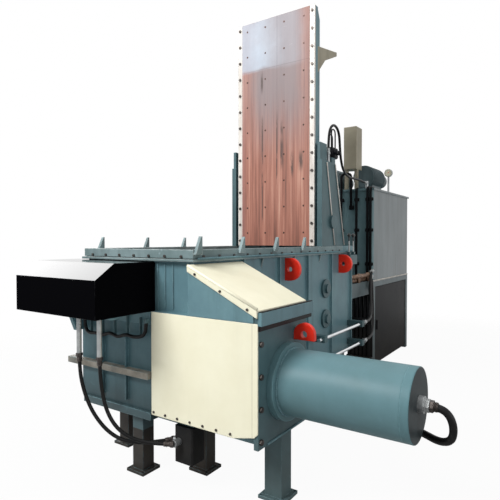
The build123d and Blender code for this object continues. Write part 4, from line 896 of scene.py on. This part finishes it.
# hoses from the wall pipes to the tank
feedHoses = {
    "feedHoseUpper": {"size": 0.034, "ends": "feedSleeves", "sleeves": (0.062, 0.062), "points": [
        (0.655, 1.725, 0.703), (0.655, 1.800, 0.703), (0.650, 1.890, 0.706), (0.636, 1.985, 0.722),
        (0.612, 2.075, 0.760), (0.584, 2.152, 0.822), (0.556, 2.215, 0.900), (0.533, 2.268, 0.985),
        (0.516, 2.316, 1.065), (0.503, 2.362, 1.135), (0.493, 2.408, 1.185), (0.486, 2.455, 1.212),
        (0.482, 2.474, 1.217)]},
    "feedHoseLower": {"size": 0.034, "ends": "feedSleeves", "sleeves": (0.062, 0.062), "points": [
        (0.655, 1.725, 0.503), (0.655, 1.810, 0.503), (0.651, 1.910, 0.507), (0.640, 2.010, 0.524),
        (0.620, 2.105, 0.566), (0.596, 2.185, 0.634), (0.572, 2.250, 0.724), (0.550, 2.304, 0.822),
        (0.530, 2.350, 0.920), (0.512, 2.390, 1.010), (0.496, 2.424, 1.085), (0.480, 2.452, 1.135),
        (0.470, 2.474, 1.158)]},
}
makeHoses(feedHoses, {"feedSleeves": zinc})
print("feed hoses made")

# the valve block on the right tower's head: foot, body, round caps and two bent lines (x, near, far, top)
valveLook = {"foot": ((0.462, 1.165, 2.3575), (0.526, 1.250, 2.420)),
             "body": ((0.458, 1.160, 2.4195), (0.532, 1.300, 2.520)),
             "caps": [((0.532, 1.195, 2.470), (1, 0, 0)), ((0.532, 1.262, 2.470), (1, 0, 0)),
                      ((0.495, 1.300, 2.492), (0, 1, 0)), ((0.495, 1.300, 2.446), (0, 1, 0))],
             "cap": [(0, 0.021), (0.004, 0.024), (0.036, 0.024), (0.042, 0.018)],
             "arches": [(0.512, 1.186, 1.276, 2.705), (0.478, 1.200, 1.285, 2.660)],
             "archFoot": 2.515, "archBend": 0.48, "line": 0.007}


def towerValves():
    foot, dark, low = bmesh.new(), bmesh.new(), valveLook["archFoot"]
    blockOn(foot, *valveLook["foot"])
    blockOn(dark, *valveLook["body"])
    for spot, way in valveLook["caps"]:
        turnOn(dark, spot, way, valveLook["cap"])
    for x, near, far, top in valveLook["arches"]:
        path = [(x, near, low), (x, near, top), (x, far, top), (x, far, low)]
        pipeOn(dark, path, valveLook["line"], (far - near) * valveLook["archBend"])
    addShape("towerValveFoot", foot, paintedShadeTeal)
    addShape("towerValves", dark, darkPaint, smooth=True)


towerValves()
print("tower valves made")

# the tank's bolted cleaning cover on its left, and the level glass on its back; the lid plate juts over both
coverLook = {"over": 0.014, "radius": 0.235, "plate": 0.007, "chamfer": 0.001, "sides": 56, "bolts": 16,
             "boltRing": 0.88, "bolt": [(0, 0.013), (0.005, 0.013), (0.006, 0.011)]}
# half width, lower and upper end as shares of the tank's height, from and to behind the tank, bevel
glassLook = {"frame": (0.034, 0.22, 0.78, -0.0002, 0.009, 0.002),
             "glass": (0.0136, 0.26, 0.74, 0.0088, 0.0118, 0.001)}


def tankCovers():
    low, high = (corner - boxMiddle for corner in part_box("oil_tank"))
    middle = (low + high) / 2
    middle.x = low.x + coverLook["over"]
    plate, bolts, glass = bmesh.new(), bmesh.new(), bmesh.new()
    radius, thick, chamfer = coverLook["radius"], coverLook["plate"], coverLook["chamfer"]
    turnOn(plate, middle, (-1, 0, 0), [(0, radius), (thick - chamfer, radius), (thick, radius - chamfer)],
           coverLook["sides"])
    for turn in roundAngles(coverLook["bolts"]):
        out = radius * coverLook["boltRing"]
        spot = middle + Vector((-thick, math.cos(turn) * out, math.sin(turn) * out))
        turnOn(bolts, spot, (-1, 0, 0), coverLook["bolt"], 6)
    back, tall = Vector(((low.x + high.x) / 2, high.y - coverLook["over"], low.z)), high.z - low.z
    for shape, part in ((bolts, "frame"), (glass, "glass")):
        half, bottom, top, near, far, bevel = glassLook[part]
        blockOn(shape, back + Vector((-half, near, tall * bottom)),
                back + Vector((half, far, tall * top)), bevel)
    addShape("tankCleaningCover", plate, standPaint)
    addShape("tankCoverBolts", bolts, darkBolt)
    addShape("tankLevelGlass", glass, creamPaint)


tankCovers()
print("tank covers made")

# face on the pressure gauge's near side: white dial, hub, needle and marks, each lifted off the one below
dialLook = {"face": [(0, 0.050), (0.0014, 0.050), (0.0018, 0.0495)], "faceLift": 0.0002, "faceSides": 40,
            "hub": [(0, 0.006), (0.003, 0.006), (0.004, 0.004)], "hubLift": 0.002, "hubSides": 16,
            "needle": [(-0.006, -0.0034, -0.006), (0.024, -0.0034, 0.026)], "needleRadius": 0.0012,
            "marks": {"Count": 36, "Radius": 0.040, "Length": 0.007}, "markLift": 0.0022}


def gaugeFace():
    low, high = (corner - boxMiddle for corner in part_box("pressure_gauge"))
    middle, near = Vector(((low.x + high.x) / 2, low.y, high.z - (high.x - low.x) / 2)), Vector((0, -1, 0))
    face, needle = bmesh.new(), bmesh.new()
    turnOn(face, middle + near * dialLook["faceLift"], near, dialLook["face"], dialLook["faceSides"])
    turnOn(needle, middle + near * dialLook["hubLift"], near, dialLook["hub"], dialLook["hubSides"])
    pipeOn(needle, [middle + Vector(spot) for spot in dialLook["needle"]], dialLook["needleRadius"])
    addShape("gaugeDial", face, creamPaint)
    addShape("gaugeNeedle", needle, redPaint)
    place = atBox(*(middle + near * dialLook["markLift"]))
    marks = dialMarks.grow("gaugeMarks", bpy.data.meshes.new("markSeed"), Place=place, Finish=darkBolt,
                           **dialLook["marks"])
    addPiece("gaugeMarks", marks, None, "frame")


gaugeFace()
print("gauge face made")

# stage: pale floor that fades into the white world, soft lights, camera as in the photograph
stageLook = {"floor": 60.0, "fadeFrom": 4.2, "fadeTo": 6.5, "floorColour": (0.45, 0.45, 0.45),
             "floorStain": (0.42, 0.42, 0.42), "floorGlow": 0.955, "sky": 0.30}
# place, what it looks at, width and height, watts
lights = {
    "keyLight": ((-2.5, -7.5, 6.8), (0.0, -1.0, 1.2), (3.2, 3.2), 780),
    "leftSky": ((-7.0, 0.5, 5.5), (-0.6, -1.6, 1.4), (5.0, 4.0), 300),
    "topSky": ((0.5, 0.0, 9.0), (0.2, 0.0, 0.0), (8.0, 8.0), 230),
    "rightFill": ((9.0, -3.0, 3.5), (0.4, 0.0, 1.2), (5.0, 4.0), 190),
}
cameraLook = {"spot": (2.460, -3.154, 1.596), "turn": 34.0, "dip": 1.22,
              "lens": 33.7, "sensor": 36.0, "far": 200}


def makeFloor():
    mesh = bpy.data.meshes.new("floor")
    half = stageLook["floor"] / 2
    corners = [(-half, -half, 0), (half, -half, 0), (half, half, 0), (-half, half, 0)]
    mesh.from_pydata(corners, [], [(0, 1, 2, 3)])
    floor = addObject("floor", mesh)
    p = Paint("paleFloor")
    stain = p.noise(0.6, 3, 0.5) * 0.04
    p.set(colour=p.mix(stain, stageLook["floorColour"], stageLook["floorStain"]), rough=0.8)
    plain = Wire(p, p.tree.nodes["Principled BSDF"].outputs[0])
    seen = p.node("LightPath", {}, "Is Camera Ray")
    glow = p.node("Emission", {"Color": (1, 1, 1, 1), "Strength": 1.0})
    lit = p.node("MixShader", {0: seen * stageLook["floorGlow"], 1: plain, 2: glow})
    reach = p.node("VectorMath", {0: p.place}, "Value", operation="LENGTH")
    clear = p.node("BsdfTransparent", {})
    fade = p.step(reach, stageLook["fadeFrom"], stageLook["fadeTo"])
    faded = p.node("MixShader", {0: fade, 1: lit, 2: clear})
    p.feed(p.tree.nodes["Material Output"].inputs[0], faded)
    mesh.materials.append(p.material)


def areaLight(name, place, target, size, power):
    lamp = bpy.data.lights.new(name, "AREA")
    lamp.shape = "RECTANGLE"
    lamp.size, lamp.size_y = size
    lamp.energy = power
    holder = addObject(name, lamp)
    holder.location = place
    holder.rotation_euler = (Vector(target) - Vector(place)).to_track_quat("-Z", "Y").to_euler()


# full white to the camera, to reflections and through the floor, dimmer as a light
def makeWorld():
    world = bpy.data.worlds.new("studio")
    bpy.context.scene.world = world
    world.use_nodes = True
    sky = Paint("studio", world.node_tree)
    direct, glossy, through = (sky.node("LightPath", {}, ray)
                               for ray in ("Is Camera Ray", "Is Glossy Ray", "Is Transmission Ray"))
    seen = sky.node("Clamp", {0: direct + glossy + through})
    white = world.node_tree.nodes["Background"]
    sky.feed(white.inputs["Color"], (1, 1, 1, 1))
    sky.feed(white.inputs["Strength"], seen * (1 - stageLook["sky"]) + stageLook["sky"])


def makeCamera():
    lens = bpy.data.cameras.new("camera")
    lens.sensor_fit = "HORIZONTAL"
    lens.sensor_width = cameraLook["sensor"]
    lens.lens = cameraLook["lens"]
    lens.clip_end = cameraLook["far"]
    camera = addObject("camera", lens)
    camera.location = atBox(*cameraLook["spot"])
    camera.rotation_euler = (math.radians(90 - cameraLook["dip"]), 0, math.radians(cameraLook["turn"]))
    bpy.context.scene.camera = camera


makeFloor()
for name, settings in lights.items():
    areaLight(name, *settings)
makeWorld()
makeCamera()
bpy.context.scene.view_settings.view_transform = "Standard"
print("stage, lights and camera set")

bpy.context.view_layer.update()
